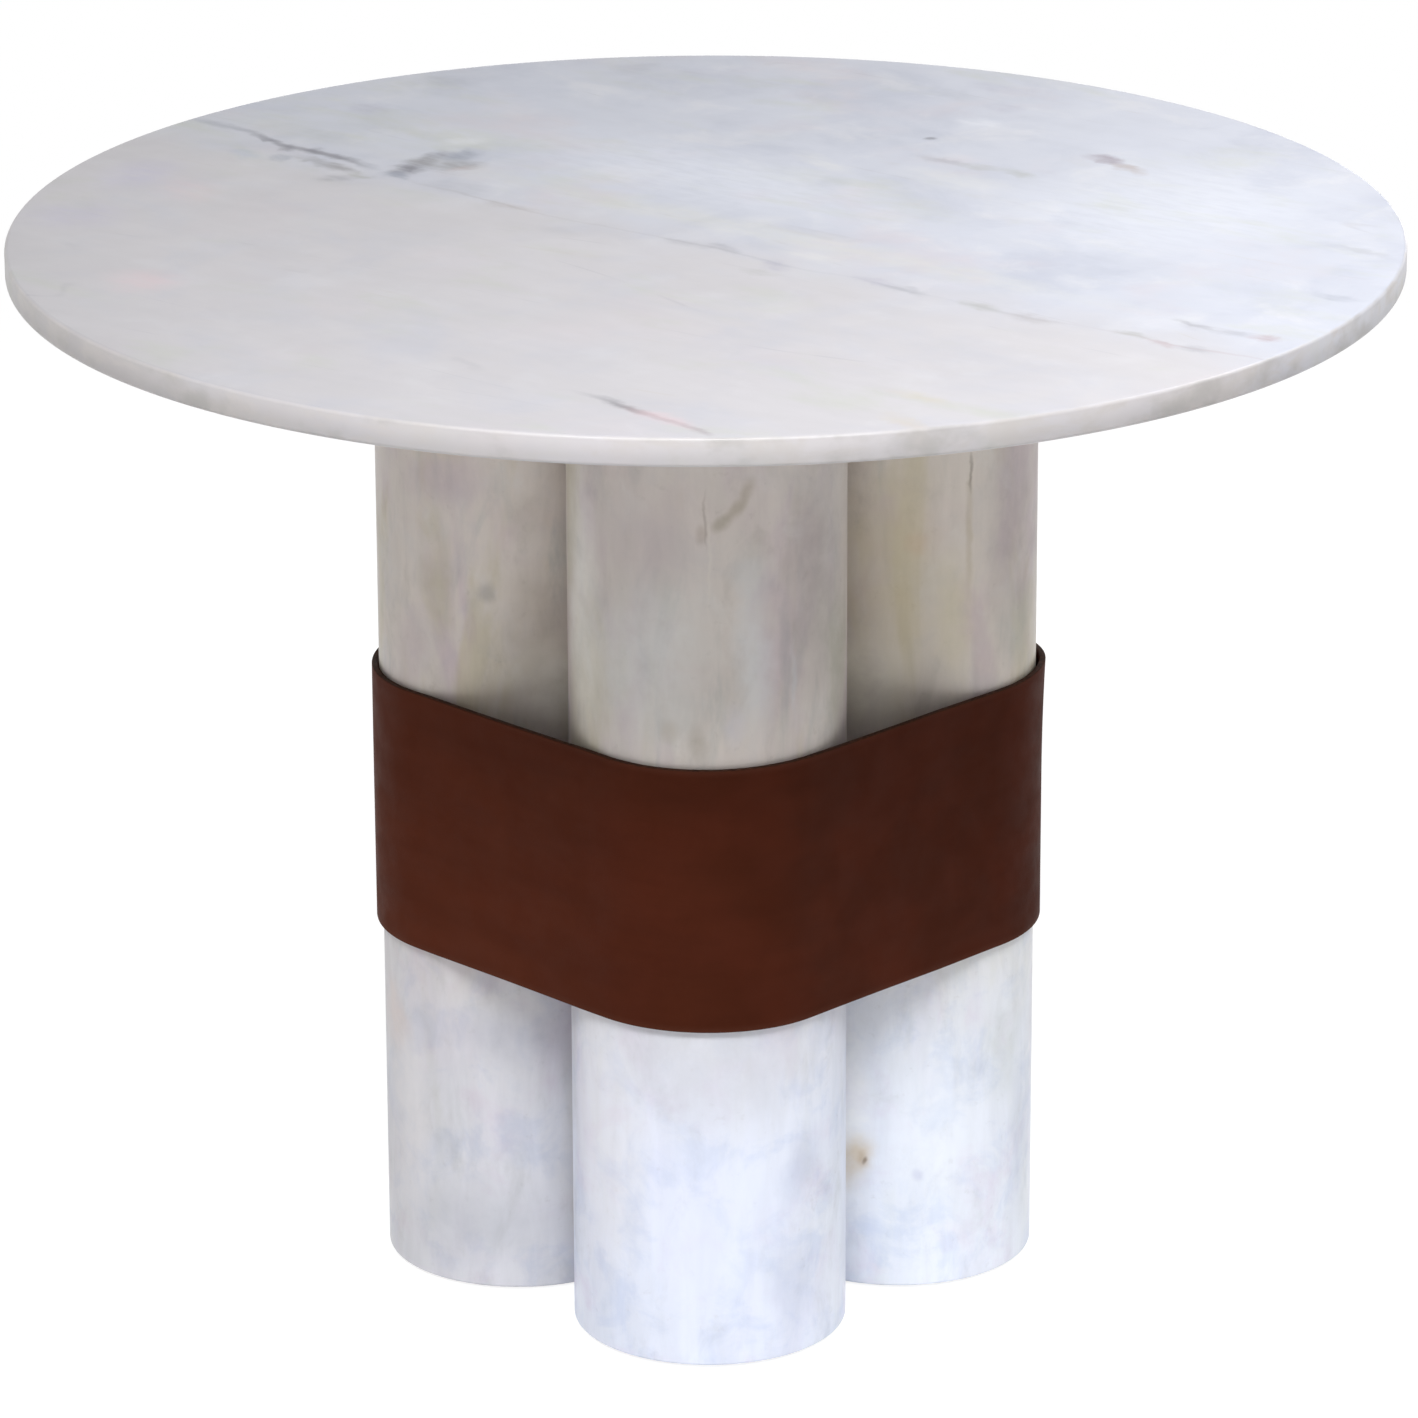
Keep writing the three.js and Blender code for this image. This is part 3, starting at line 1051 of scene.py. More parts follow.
def piece_from(
    shape: bmesh.types.BMesh, name: str, crease: float = math.radians(32)
) -> bpy.types.Object:
    """Make an object of a finished shape, smooth except along its creases.

    Args:
        shape: The shape, in place. It is freed.
        name: Name of the object.
        crease: Faces that meet at more than this angle keep a sharp edge.

    Returns:
        The object, at the origin.
    """
    for face in shape.faces:
        face.smooth = True
    for edge in shape.edges:
        edge.smooth = len(edge.link_faces) != 2 or edge.calc_face_angle(0.0) < crease
    mesh = bpy.data.meshes.new(name)
    shape.to_mesh(mesh)
    shape.free()
    piece = bpy.data.objects.new(name, mesh)
    bpy.context.scene.collection.objects.link(piece)
    return piece


def cut_from(shape: bmesh.types.BMesh, cutters: bmesh.types.BMesh) -> bmesh.types.BMesh:
    """Cut some shapes out of another one.

    Args:
        shape: The shape that is cut. It is freed.
        cutters: The shapes that are taken out. They are freed.

    Returns:
        The cut shape.
    """
    body = piece_from(shape, "uncut")
    tool = piece_from(cutters, "cutter")
    modifier = body.modifiers.new("cut", "BOOLEAN")
    modifier.operation = "DIFFERENCE"
    modifier.solver = "EXACT"
    modifier.object = tool
    bpy.context.view_layer.update()
    graph = bpy.context.evaluated_depsgraph_get()
    result = bmesh.new()
    result.from_object(body, graph)
    for used in (body, tool):
        mesh = used.data
        bpy.data.objects.remove(used)
        bpy.data.meshes.remove(mesh)
    return result


def rim_edges(
    shape: bmesh.types.BMesh, least: float = math.radians(45)
) -> list[bmesh.types.BMEdge]:
    """Give the edges where faces meet at more than an angle."""
    return [e for e in shape.edges if len(e.link_faces) == 2 and e.calc_face_angle(0.0) > least]


def ease(shape: bmesh.types.BMesh, edges: Sequence[Any], width: float, steps: int) -> None:
    """Round edges off.

    Args:
        shape: The shape.
        edges: Its edges to round.
        width: How far the rounding reaches from each edge.
        steps: Number of facets of the rounding.
    """
    form = {"offset_type": "OFFSET", "affect": "EDGES", "profile": 0.5, "material": -1}
    bmesh.ops.bevel(
        shape, geom=list(edges), offset=width, segments=steps, clamp_overlap=True, **form
    )


def pull(
    shape: bmesh.types.BMesh, faces: Sequence[bmesh.types.BMFace]
) -> list[bmesh.types.BMVert]:
    """Pull faces off a shape, and give their new corners, which still lie on the old ones."""
    pulled = bmesh.ops.extrude_face_region(shape, geom=faces)["geom"]
    return [part for part in pulled if isinstance(part, bmesh.types.BMVert)]


def drum(radius: float, foot: float, head: float, sides: int, centre: Vector) -> bmesh.types.BMesh:
    """Make an upright round body from a disc that is pulled up.

    Args:
        radius: Its radius.
        foot: Height of its lower face.
        head: Height of its upper face.
        sides: Number of its side faces.
        centre: A point on its axis.

    Returns:
        The closed shape.
    """
    shape = bmesh.new()
    spot = Matrix.Translation((centre.x, centre.y, foot))
    bmesh.ops.create_circle(shape, cap_ends=True, radius=radius, segments=sides, matrix=spot)
    corners = pull(shape, shape.faces[:])
    bmesh.ops.translate(shape, verts=corners, vec=(0.0, 0.0, head - foot))
    bmesh.ops.recalc_face_normals(shape, faces=shape.faces[:])
    return shape


def add_rod(
    shape: bmesh.types.BMesh, radius: float, length: float, sides: int, place: Matrix
) -> None:
    """Add a round rod to a shape, with its middle at a place and its length along Z there."""
    ends = {"radius1": radius, "radius2": radius, "depth": length}
    bmesh.ops.create_cone(shape, cap_ends=True, segments=sides, matrix=place, **ends)


def flat_faces(shape: bmesh.types.BMesh) -> list[bmesh.types.BMFace]:
    """Give the round end faces of a drum, the lower one first."""
    ends = [face for face in shape.faces if len(face.verts) > MOST_SIDE_CORNERS]
    return sorted(ends, key=lambda face: face.calc_center_median().z)


def dress(piece: bpy.types.Object, material: bpy.types.Material, slot: str, *nodes: str) -> None:
    """Give a piece its finish, its body, and the nodes that it stands for.

    Args:
        piece: The piece.
        material: Its material.
        slot: The record's slot that the finish belongs to. It is not used.
        nodes: The nodes that it replaces.
    """
    piece.data.materials.clear()
    piece.data.materials.append(material)
    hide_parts(*nodes)
    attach(piece, BODY)
    LOG.info("%s: %d faces, for %s", piece.name, len(piece.data.polygons), ", ".join(nodes))


@dataclass
class SlabTop:
    """The round top: one slab with eased edges and four blind dowel holes."""

    node: str = "table_top"
    sides: int = 288
    arris: float = 0.003
    arris_steps: int = 6
    border: float = 0.004
    hole_radius: float = 0.0063
    hole_depth: float = 0.01
    hole_sides: int = 32
    overrun: float = 0.002

    def build(self, columns: Sequence["ColumnPlace"]) -> None:
        """Build and dress the slab.

        Args:
            columns: The places that have a dowel.
        """
        low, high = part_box(self.node)
        radius = (high.x - low.x) / 2
        shape = drum(radius, low.z, high.z, self.sides, centre_of(self.node))
        ease(shape, rim_edges(shape), self.arris, self.arris_steps)
        for face in flat_faces(shape):
            bmesh.ops.inset_region(shape, faces=[face], thickness=self.border)
        holes = bmesh.new()
        middle = low.z + (self.hole_depth - self.overrun) / 2
        for place in columns:
            spot = centre_of(place.column)
            matrix = Matrix.Translation((spot.x, spot.y, middle))
            add_rod(holes, self.hole_radius, self.hole_depth + self.overrun, self.hole_sides, matrix)
        piece = piece_from(cut_from(shape, holes), "marble_slab")
        dress(piece, PolishedSlabStone(radius, high.z).material(), "marble_top", self.node)


class ColumnPlace(Enum):
    """Where a column stands in the cluster."""

    FRONT = "front"
    RIGHT = "right"
    BACK = "back"
    LEFT = "left"

    @property
    def column(self) -> str:
        """Name of the column's node."""
        return f"column_{self.value}"


# Marks of each column, and patches of painted light and shade, on its own surface: x and y from its axis,
# z from the floor
COLUMN_MARKS_AND_PAINTED_LIGHT: dict[ColumnPlace, tuple[tuple[Any, ...], ...]] = {
    ColumnPlace.FRONT: (
        ((0.005, -0.094, 0.1), (0.08, 0.06, 0.11), (225, 231, 249), 0.52),
        # Painted shadow of the band, just below it.
        ((0.0, -0.095, 0.238), (0.11, 0.07, 0.095), (199, 200, 208), 0.68),
        ((-0.045, -0.083, 0.6), (0.055, 0.06, 0.055), (199, 188, 187), 0.52, 0.3),
        # Painted light: lighter just above the band, where light reaches under the slab.
        ((-0.04, -0.085, 0.512), (0.06, 0.06, 0.088), (219, 220, 218), 0.64, 0.4),
        ((0.03, -0.089, 0.575), (0.02, 0.04, 0.03), (204, 205, 205), 0.5, -0.3),
        # Painted light: lighter just above the band, where light reaches under the slab.
        ((0.032, -0.089, 0.515), (0.02, 0.04, 0.08), (216, 218, 220), 0.6),
        ((0.077, -0.056, 0.56), (0.032, 0.06, 0.11), (156, 147, 143), 0.6),
        ((0.066, -0.068, 0.59), (0.02, 0.05, 0.045), (158, 142, 146), 0.38),
        ((0.052, -0.079, 0.525), (0.006, 0.04, 0.05), (160, 157, 160), 0.45),
        ((0.058, -0.075, 0.5), (0.003, 0.04, 0.04), (204, 206, 210), 0.35),
        ((0.086, -0.04, 0.5), (0.013, 0.04, 0.07), (156, 157, 136), 0.5),
        ((0.0265, -0.091, 0.635), (0.0062, 0.03, 0.015), (158, 146, 128), 0.55, 0.3),
        ((0.0195, -0.093, 0.624), (0.0075, 0.03, 0.013), (150, 138, 114), 0.6, 0.7),
        ((0.0095, -0.0945, 0.614), (0.0068, 0.03, 0.012), (144, 134, 108), 0.62, 0.9),
        ((-0.004, -0.095, 0.606), (0.0055, 0.03, 0.01), (156, 140, 124), 0.45),
        ((-0.0012, -0.095, 0.616), (0.0014, 0.03, 0.026), (138, 124, 110), 0.45),
        ((0.001, -0.095, 0.59), (0.0014, 0.03, 0.06), (214, 208, 198), 0.4),
        ((-0.026, -0.091, 0.466), (0.01, 0.03, 0.012), (166, 155, 136), 0.35),
        ((-0.006, -0.095, 0.458), (0.009, 0.03, 0.02), (150, 140, 126), 0.45, -0.2),
        ((0.018, -0.093, 0.47), (0.011, 0.03, 0.022), (206, 204, 216), 0.4),
        # Painted shade: darker on the column's right side, turned from the light.
        ((0.062, -0.072, 0.14), (0.02, 0.05, 0.045), (192, 200, 222), 0.5, 0.3),
        ((0.058, -0.075, 0.05), (0.022, 0.05, 0.04), (194, 202, 224), 0.45, -0.3),
        ((-0.072, -0.062, 0.15), (0.045, 0.07, 0.13), (228, 225, 228), 0.48),
        # Painted light: a pale rim along the lit left edge.
        ((-0.086, -0.04, 0.54), (0.024, 0.05, 0.13), (243, 240, 234), 0.66),
    ),
    ColumnPlace.LEFT: (
        # Painted light against the shade of the pocket between the columns just above the band.
        ((0.034, -0.088, 0.452), (0.048, 0.05, 0.05), (253, 249, 240), 0.88),
        ((-0.045, -0.083, 0.6), (0.045, 0.06, 0.03), (190, 172, 182), 0.5, -0.2),
        ((-0.047, -0.082, 0.515), (0.016, 0.05, 0.045), (184, 175, 142), 0.5),
        ((-0.016, -0.093, 0.521), (0.01, 0.04, 0.011), (148, 147, 147), 0.5),
        ((0.015, -0.094, 0.5), (0.03, 0.05, 0.06), (172, 160, 143), 0.45),
        ((0.01, -0.094, 0.575), (0.026, 0.05, 0.024), (186, 180, 167), 0.4),
        ((-0.07, -0.064, 0.47), (0.02, 0.05, 0.04), (196, 180, 186), 0.45, 0.3),
        ((-0.01, -0.094, 0.195), (0.055, 0.05, 0.032), (176, 177, 190), 0.5, 0.3),
        ((-0.03, -0.09, 0.05), (0.08, 0.06, 0.045), (172, 174, 182), 0.5, -0.2),
        ((0.055, -0.078, 0.13), (0.034, 0.05, 0.14), (196, 190, 178), 0.7),
        ((-0.078, -0.055, 0.13), (0.024, 0.06, 0.13), (224, 220, 221), 0.6),
        ((-0.085, -0.04, 0.19), (0.015, 0.05, 0.04), (214, 192, 182), 0.45),
        ((0.045, -0.084, 0.055), (0.01, 0.04, 0.03), (158, 150, 134), 0.5),
    ),
    ColumnPlace.RIGHT: (
        # Painted light: lighter where the light falls on the right column.
        ((0.02, -0.093, 0.12), (0.042, 0.05, 0.08), (241, 246, 254), 0.45),
        # Painted light against the shade in the cleft beside the front column.
        ((-0.044, -0.084, 0.14), (0.03, 0.045, 0.15), (254, 254, 252), 0.9),
        # Painted light against the shade of the pocket between the columns just above the band.
        ((-0.034, -0.088, 0.456), (0.048, 0.05, 0.05), (252, 247, 232), 0.85),
        ((0.0, -0.095, 0.53), (0.04, 0.06, 0.1), (198, 185, 150), 0.5),
        ((0.035, -0.088, 0.5), (0.02, 0.05, 0.07), (208, 198, 162), 0.45),
        ((0.074, -0.059, 0.56), (0.026, 0.05, 0.1), (176, 164, 166), 0.55),
        ((0.078, -0.054, 0.48), (0.018, 0.05, 0.04), (168, 170, 163), 0.5),
        ((0.008, -0.095, 0.555), (0.013, 0.04, 0.012), (200, 164, 128), 0.35),
        ((0.0455, -0.083, 0.602), (0.0017, 0.03, 0.02), (110, 98, 82), 0.7),
        ((0.045, -0.084, 0.56), (0.004, 0.03, 0.06), (178, 162, 130), 0.4),
        ((-0.033, -0.089, 0.098), (0.02, 0.035, 0.032), (206, 184, 148), 0.7, 0.3),
        ((-0.027, -0.091, 0.099), (0.0075, 0.03, 0.0085), (182, 154, 116), 0.45),
        ((-0.0255, -0.0915, 0.0985), (0.0024, 0.02, 0.0046), (122, 100, 78), 0.75, 0.6),
        ((0.0115, -0.094, 0.088), (0.006, 0.02, 0.006), (196, 200, 222), 0.6),
        # Painted shade: darker towards the right edge, turned from the light.
        ((0.072, -0.062, 0.17), (0.017, 0.05, 0.055), (202, 208, 208), 0.5),
        ((0.085, -0.042, 0.11), (0.014, 0.05, 0.12), (198, 205, 222), 0.45),
    ),
    ColumnPlace.BACK: (
        ((0.03, 0.09, 0.6), (0.03, 0.04, 0.06), (190, 178, 158), 0.5),
        ((-0.05, 0.081, 0.54), (0.03, 0.05, 0.06), (198, 184, 190), 0.5),
        ((-0.04, 0.086, 0.12), (0.036, 0.04, 0.035), (184, 188, 202), 0.5),
    ),
}

# The upper and the lower colour of each column, and the shift of its noise. Partly painted light: the
# upper colours are warmer, as in the slab's shade, the lower ones cooler, as in open light, and the lower
# ones run from darkest on the left column to lightest on the right.
COLUMN_TONES: dict[ColumnPlace, tuple[Colour, Colour, Triple]] = {
    ColumnPlace.FRONT: (tone(205, 197, 190), tone(224, 229, 243), NO_SHIFT),
    ColumnPlace.RIGHT: (tone(214, 205, 195), tone(230, 235, 245), (3.7, 1.3, 0.4)),
    ColumnPlace.BACK: (tone(214, 206, 198), tone(218, 220, 229), (7.1, 4.9, 1.1)),
    ColumnPlace.LEFT: (tone(220, 211, 203), tone(207, 207, 213), (11.3, 8.2, 2.3)),
}


@dataclass
class StoneColumn:
    """One marble column with eased ends and the bore for its dowel."""

    place: ColumnPlace
    sides: int = 160
    arris: float = 0.0025
    arris_steps: int = 5
    border: float = 0.003
    bore_radius: float = 0.0063
    bore_depth: float = 0.03
    swell: float = 0.00022

    def build(self) -> None:
        """Build and dress the column."""
        low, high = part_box(self.place.column)
        centre = centre_of(self.place.column)
        radius = (high.x - low.x) / 2 + self.swell
        shape = drum(radius, low.z, high.z, self.sides, centre)
        ease(shape, rim_edges(shape), self.arris, self.arris_steps)
        lower, upper = flat_faces(shape)
        bmesh.ops.inset_region(shape, faces=[lower], thickness=self.border)
        ring = radius - self.arris - self.bore_radius
        bmesh.ops.inset_region(shape, faces=[upper], thickness=ring)
        bmesh.ops.translate(shape, verts=pull(shape, [upper]), vec=(0.0, 0.0, -self.bore_depth))
        if upper.is_valid:
            bmesh.ops.delete(shape, geom=[upper], context="FACES_ONLY")
        bmesh.ops.recalc_face_normals(shape, faces=shape.faces[:])
        piece = piece_from(shape, f"marble_column_{self.place.value}")
        marks_and_painted_light = tuple(Patch(*row) for row in COLUMN_MARKS_AND_PAINTED_LIGHT[self.place])
        stone = HonedColumnStone(*COLUMN_TONES[self.place], marks_and_painted_light)
        finish = stone.material(f"column_marble_{self.place.value}", centre)
        dress(piece, finish, "marble_column", self.place.column)


@dataclass(frozen=True)
class Station:
    """One place on the band's path, where its inner face runs."""

    point: Vector
    outward: Vector
    lift: float
    travel: float


@dataclass(frozen=True)
class LeatherGive:
    """How the leather stands off its path and how its edges waver.

    Next to the lap the band lies tight, and the give grows over a short settling length.
    The band's head flares where it faces right, and slow billows run all along it.
    """

    settling: float = 0.06
    tight: float = 0.05
    flare: float = 0.0022
    flare_turn: float = 0.05
    flare_spread: float = 0.45
    flare_foot: float = 0.55
    billow: float = 0.0006
    billow_start: float = 1.1
    billow_rate: float = 13.0
    billow_drift: float = 5.0
    billow_rise: float = 2.4
    waver: float = 0.0004
    waver_rate: float = 21.0
    waver_zone: float = 0.1

    def swell(self, station: Station, rise: float, start: float, end: float) -> float:
        """Give how far the leather stands off its path.

        Args:
            station: The place on the path.
            rise: Height in the band, from 0 at its foot to 1 at its head.
            start: Travel where the lap's inner end is passed.
            end: Travel where the lap starts again.

        Returns:
            The distance, never inwards.
        """
        if station.lift > 0 or station.travel < start:
            return 0.0
        settle = min(1.0, (station.travel - start) / self.settling)
        settle *= min(1.0, max(0.0, (end - self.tight - station.travel) / self.settling))
        turn = math.atan2(station.outward.y, station.outward.x)
        facing = math.exp(-(((turn - self.flare_turn) / self.flare_spread) ** 2))
        flare = facing * max(0.0, rise - self.flare_foot) / (1 - self.flare_foot)
        billow = math.sin(station.travel * self.billow_rate + self.billow_start)
        billow *= math.cos(rise * self.billow_rise + station.travel * self.billow_drift)
        return settle * (self.flare * flare**2 + self.billow * (0.5 + 0.5 * billow))

    def inset(self, station: Station, rise: float) -> float:
        """Give how far the leather wavers up or down near its edges.

        Args:
            station: The place on the path.
            rise: Height in the band, from 0 at its foot to 1 at its head.

        Returns:
            The distance, upwards near the foot and downwards near the head.
        """
        sway = self.waver * math.sin(station.travel * self.waver_rate) * (2 * rise - 1)
        edge = max(0.0, abs(2 * rise - 1) - 1 + self.waver_zone) / self.waver_zone
        return math.copysign(sway, 0.5 - rise) * edge


@dataclass
class StrapBand:
    """The leather band, drawn around the columns and lapped at the back."""

    node: str = "leather_band"
    thickness: float = 0.0045
    slack: float = 0.0003
    lap_length: float = 0.07
    lap_gap: float = 0.0003
    ramp_length: float = 0.026
    ramp_margin: float = 0.005
    lap_angle: float = math.radians(135)
    corner_steps: int = 26
    run_step: float = 0.006
    rows: int = 26
    edge_round: float = 0.0009
    edge_steps: int = 3
    hole_radius: float = 0.0033
    hole_sides: int = 24
    overrun: float = 0.002
    nearest: float = 1e-6
    give: LeatherGive = LeatherGive()
    stations: list[Station] = field(default_factory=list)

    @property
    def inner_radius(self) -> float:
        """Radius of the band's inner face around a column."""
        low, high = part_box(ColumnPlace.FRONT.column)
        return (high.x - low.x) / 2 + self.slack

    @property
    def reach(self) -> float:
        """Distance of a column's axis from the middle."""
        return centre_of(ColumnPlace.RIGHT.column).x

    @property
    def stack(self) -> float:
        """Thickness of the two layers of the lap."""
        return 2 * self.thickness + self.lap_gap

    @property
    def facing(self) -> Matrix:
        """Turn that points +Y straight out of the lap."""
        return Matrix.Rotation(self.lap_angle - QUARTER, 4, "Z")

    @staticmethod
    def ray(angle: float) -> Vector:
        """Give the level direction at an angle."""
        return Vector((math.cos(angle), math.sin(angle), 0.0))

    def on_run(self, angle: float, along: float) -> Vector:
        """Give a point of the run that faces an angle, so far along from its middle."""
        offset = self.reach / math.sqrt(2) + self.inner_radius
        return self.ray(angle) * offset + self.ray(angle + QUARTER) * along

    def _add(self, point: Vector, outward: Vector, lift: float) -> None:
        """Add a station to the path, unless it falls on the last one.

        Args:
            point: Where the inner face is, at height zero.
            outward: Level direction in which the band faces there.
            lift: How far the band stands off there.
        """
        travel = 0.0
        if self.stations:
            step = (point - self.stations[-1].point).length
            if step < self.nearest:
                return
            travel = self.stations[-1].travel + step
        self.stations.append(Station(point, outward, lift, travel))

    def _run(
        self,
        angle: float,
        start: float,
        end: float,
        lift: Callable[[float], float] = lambda along: 0.0,
    ) -> None:
        """Add the stations of a straight run, or of a part of one.

        Args:
            angle: Direction in which the run faces.
            start: Where it starts, from its middle.
            end: Where it ends.
            lift: How far it stands off the path at a place along it.
        """
        count = max(1, round((end - start) / self.run_step))
        for index in range(count + 1):
            along = start + (end - start) * index / count
            self._add(self.on_run(angle, along), self.ray(angle), lift(along))

    def _corner(self, angle: float) -> None:
        """Add the stations around one column.

        Args:
            angle: Direction of the column from the middle.
        """
        centre = self.ray(angle) * self.reach
        for index in range(self.corner_steps + 1):
            outward = self.ray(angle + (index / self.corner_steps - 0.5) * QUARTER)
            self._add(centre + outward * self.inner_radius, outward, 0.0)

    def lay_path(self) -> None:
        """Lay the path from the inner end, once around, and over the lap."""
        half = self.reach / math.sqrt(2)
        lap_end = self.lap_length / 2
        foot = lap_end + self.ramp_margin + self.ramp_length

        def climb(along: float) -> float:
            """Lift the outer end over the inner one."""
            share = min(1.0, max(0.0, (along + foot) / self.ramp_length))
            return (self.thickness + self.lap_gap) * (1 - math.cos(share * math.pi)) / 2

        self._run(self.lap_angle, -lap_end, half)
        for turn in range(1, 5):
            self._corner(self.lap_angle + (turn - 0.5) * QUARTER)
            if turn < 4:
                self._run(self.lap_angle + turn * QUARTER, -half, half)
        self._run(self.lap_angle, -half, lap_end, climb)

    def build(self, posts: Sequence["LapPost"]) -> None:
        """Build and dress the band.

        Args:
            posts: The binding posts that pass through the lap.
        """
        self.lay_path()
        low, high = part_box(self.node)
        shape = bmesh.new()
        columns = len(self.stations) - 1
        bmesh.ops.create_grid(shape, x_segments=columns, y_segments=self.rows, size=1.0)
        outward = shape.verts.layers.float_vector.new("outward")
        start = self.lap_length + self.ramp_length
        end = self.stations[-1].travel - self.lap_length
        for corner in shape.verts:
            station = self.stations[round((corner.co.x + 1) / 2 * columns)]
            rise = (corner.co.y + 1) / 2
            lift = station.lift + self.give.swell(station, rise, start, end)
            height = low.z + (high.z - low.z) * rise + self.give.inset(station, rise)
            corner.co = station.point + station.outward * lift + Vector((0.0, 0.0, height))
            corner[outward] = station.outward
        for corner in pull(shape, shape.faces[:]):
            corner.co += corner[outward] * self.thickness
        bmesh.ops.recalc_face_normals(shape, faces=shape.faces[:])
        ease(shape, rim_edges(shape, math.radians(60)), self.edge_round, self.edge_steps)
        shape.verts.layers.float_vector.remove(outward)
        shape = cut_from(shape, self._holes(posts))
        piece = piece_from(shape, "strap_band", math.radians(40))
        dress(piece, WaxedLeather(low.z, high.z).material(), "leather", self.node)

    def _holes(self, posts: Sequence["LapPost"]) -> bmesh.types.BMesh:
        """Make the cutters of the post holes.

        Args:
            posts: The binding posts.

        Returns:
            The cutters, in one shape.
        """
        holes = bmesh.new()
        depth = self.stack + 2 * self.overrun
        level = Matrix.Rotation(QUARTER, 4, "X")
        for post in posts:
            middle = post.seat(self) + self.ray(self.lap_angle) * (depth / 2 - self.overrun)
            place = Matrix.Translation(middle) @ self.facing @ level
            add_rod(holes, self.hole_radius, depth, self.hole_sides, place)
        return holes


@dataclass
class LapPost:
    """A binding post and its slotted screw, which close the lap."""

    number: int
    head_radius: float = 0.0065
    head_height: float = 0.0016
    dome: float = 0.0007
    dome_reach: float = 0.00154
    dome_steps: int = 5
    barrel_radius: float = 0.003
    bore_radius: float = 0.002
    shank_radius: float = 0.0017
    floor: float = 0.0016
    seat_gap: float = 0.0003
    slot_width: float = 0.0014
    slot_depth: float = 0.0008
    most_lean: float = 0.4
    lean_step: float = 2.3
    steps: int = 40

    @property
    def post_node(self) -> str:
        """Name of the post's node."""
        return f"lap_post_{self.number}"

    @property
    def screw_node(self) -> str:
        """Name of the screw's node."""
        return f"lap_screw_{self.number}"

    def seat(self, band: StrapBand) -> Vector:
        """Give where the post's axis meets the band's inner face.

        Args:
            band: The band.

        Returns:
            The point.
        """
        centre = centre_of(self.post_node)
        along = centre.dot(band.ray(band.lap_angle + QUARTER))
        spot = band.on_run(band.lap_angle, along)
        return Vector((spot.x, spot.y, centre.z))

    def _turn(self, outline: Sequence[tuple[float, float]]) -> bmesh.types.BMesh:
        """Spin an outline of radius and depth about the post's axis.

        Args:
            outline: Its points, from axis to axis.

        Returns:
            The closed shape, pointing along +Y.
        """
        shape = bmesh.new()
        corners = [shape.verts.new((radius, depth, 0.0)) for radius, depth in outline]
        for first, second in zip(corners, corners[1:]):
            shape.edges.new((first, second))
        way = {"cent": NO_SHIFT, "axis": (0.0, 1.0, 0.0), "dvec": NO_SHIFT, "angle": 4 * QUARTER}
        parts = shape.verts[:] + shape.edges[:]
        bmesh.ops.spin(shape, geom=parts, steps=self.steps, use_merge=True, **way)
        bmesh.ops.remove_doubles(shape, verts=shape.verts[:], dist=1e-6)
        bmesh.ops.recalc_face_normals(shape, faces=shape.faces[:])
        return shape

    def _domed(self, seat: float, way: int) -> list[tuple[float, float]]:
        """Give a head's outline, from its seat to the middle of its crown.

        Args:
            seat: Depth at which the head lies on the leather.
            way: 1 where it points out of the lap, -1 where it points in.

        Returns:
            The points of radius and depth.
        """
        shoulder = self.head_height - self.dome
        points = [(self.head_radius, seat), (self.head_radius, seat + way * shoulder)]
        for index in range(1, self.dome_steps + 1):
            turn = index / self.dome_steps * QUARTER
            radius = self.head_radius - self.dome_reach * (1 - math.cos(turn))
            points.append((radius, seat + way * (shoulder + self.dome * math.sin(turn))))
        return [*points, (0.0, seat + way * self.head_height)]

    def build(self, band: StrapBand, brass: bpy.types.Material) -> None:
        """Build and dress the post and its screw.

        Args:
            band: The band that they close.
            brass: Their material.
        """
        place = Matrix.Translation(self.seat(band)) @ band.facing
        end = band.stack - self.seat_gap
        head = self._domed(-self.seat_gap, -1)[::-1]
        barrel = [(self.barrel_radius, -self.seat_gap), (self.barrel_radius, end)]
        bore = [(self.bore_radius, end), (self.bore_radius, self.floor), (0.0, self.floor)]
        post = self._turn([*head, *barrel, *bore])
        bmesh.ops.transform(post, matrix=place, verts=post.verts[:])
        dress(piece_from(post, f"binding_post_{self.number}"), brass, "brass", self.post_node)

        seat = band.stack + self.seat_gap
        tip = self.floor + self.seat_gap
        shank = [(0.0, tip), (self.shank_radius, tip), (self.shank_radius, seat)]
        screw = self._turn([*shank, *self._domed(seat, 1)])
        size = Matrix.Diagonal((3 * self.head_radius, 2 * self.slot_depth, self.slot_width, 1.0))
        lean = Matrix.Rotation(self.most_lean * math.sin(self.number * self.lean_step), 4, "Y")
        crown = Matrix.Translation((0.0, seat + self.head_height, 0.0))
        slot = bmesh.new()
        bmesh.ops.create_cube(slot, size=1.0, matrix=crown @ lean @ size)
        screw = cut_from(screw, slot)
        bmesh.ops.transform(screw, matrix=place, verts=screw.verts[:])
        dress(piece_from(screw, f"binding_screw_{self.number}"), brass, "brass", self.screw_node)


@dataclass
class HiddenFittings:
    """Pads and dowels, whose own solids stay and get their finish."""

    def build(self, columns: Sequence[ColumnPlace]) -> None:
        """Dress the pads and the dowels.

        Args:
            columns: The places that have them.
        """
        pad = SoftPad().material()
        finishes = {"foot_pad": pad, "top_pad": pad, "top_dowel": SatinSteel().material()}
        for place in columns:
            for kind, material in finishes.items():
                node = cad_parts[f"{kind}_{place.value}"]
                for holder in node.material_slots:
                    holder.material = material
                LOG.info("%s: own solid, new finish", node.name)


@dataclass
class Lamp:
    """A soft oblong lamp."""

    name: str
    place: Triple
    aim: Triple
    width: float
    height: float
    power: float
    tint: Colour


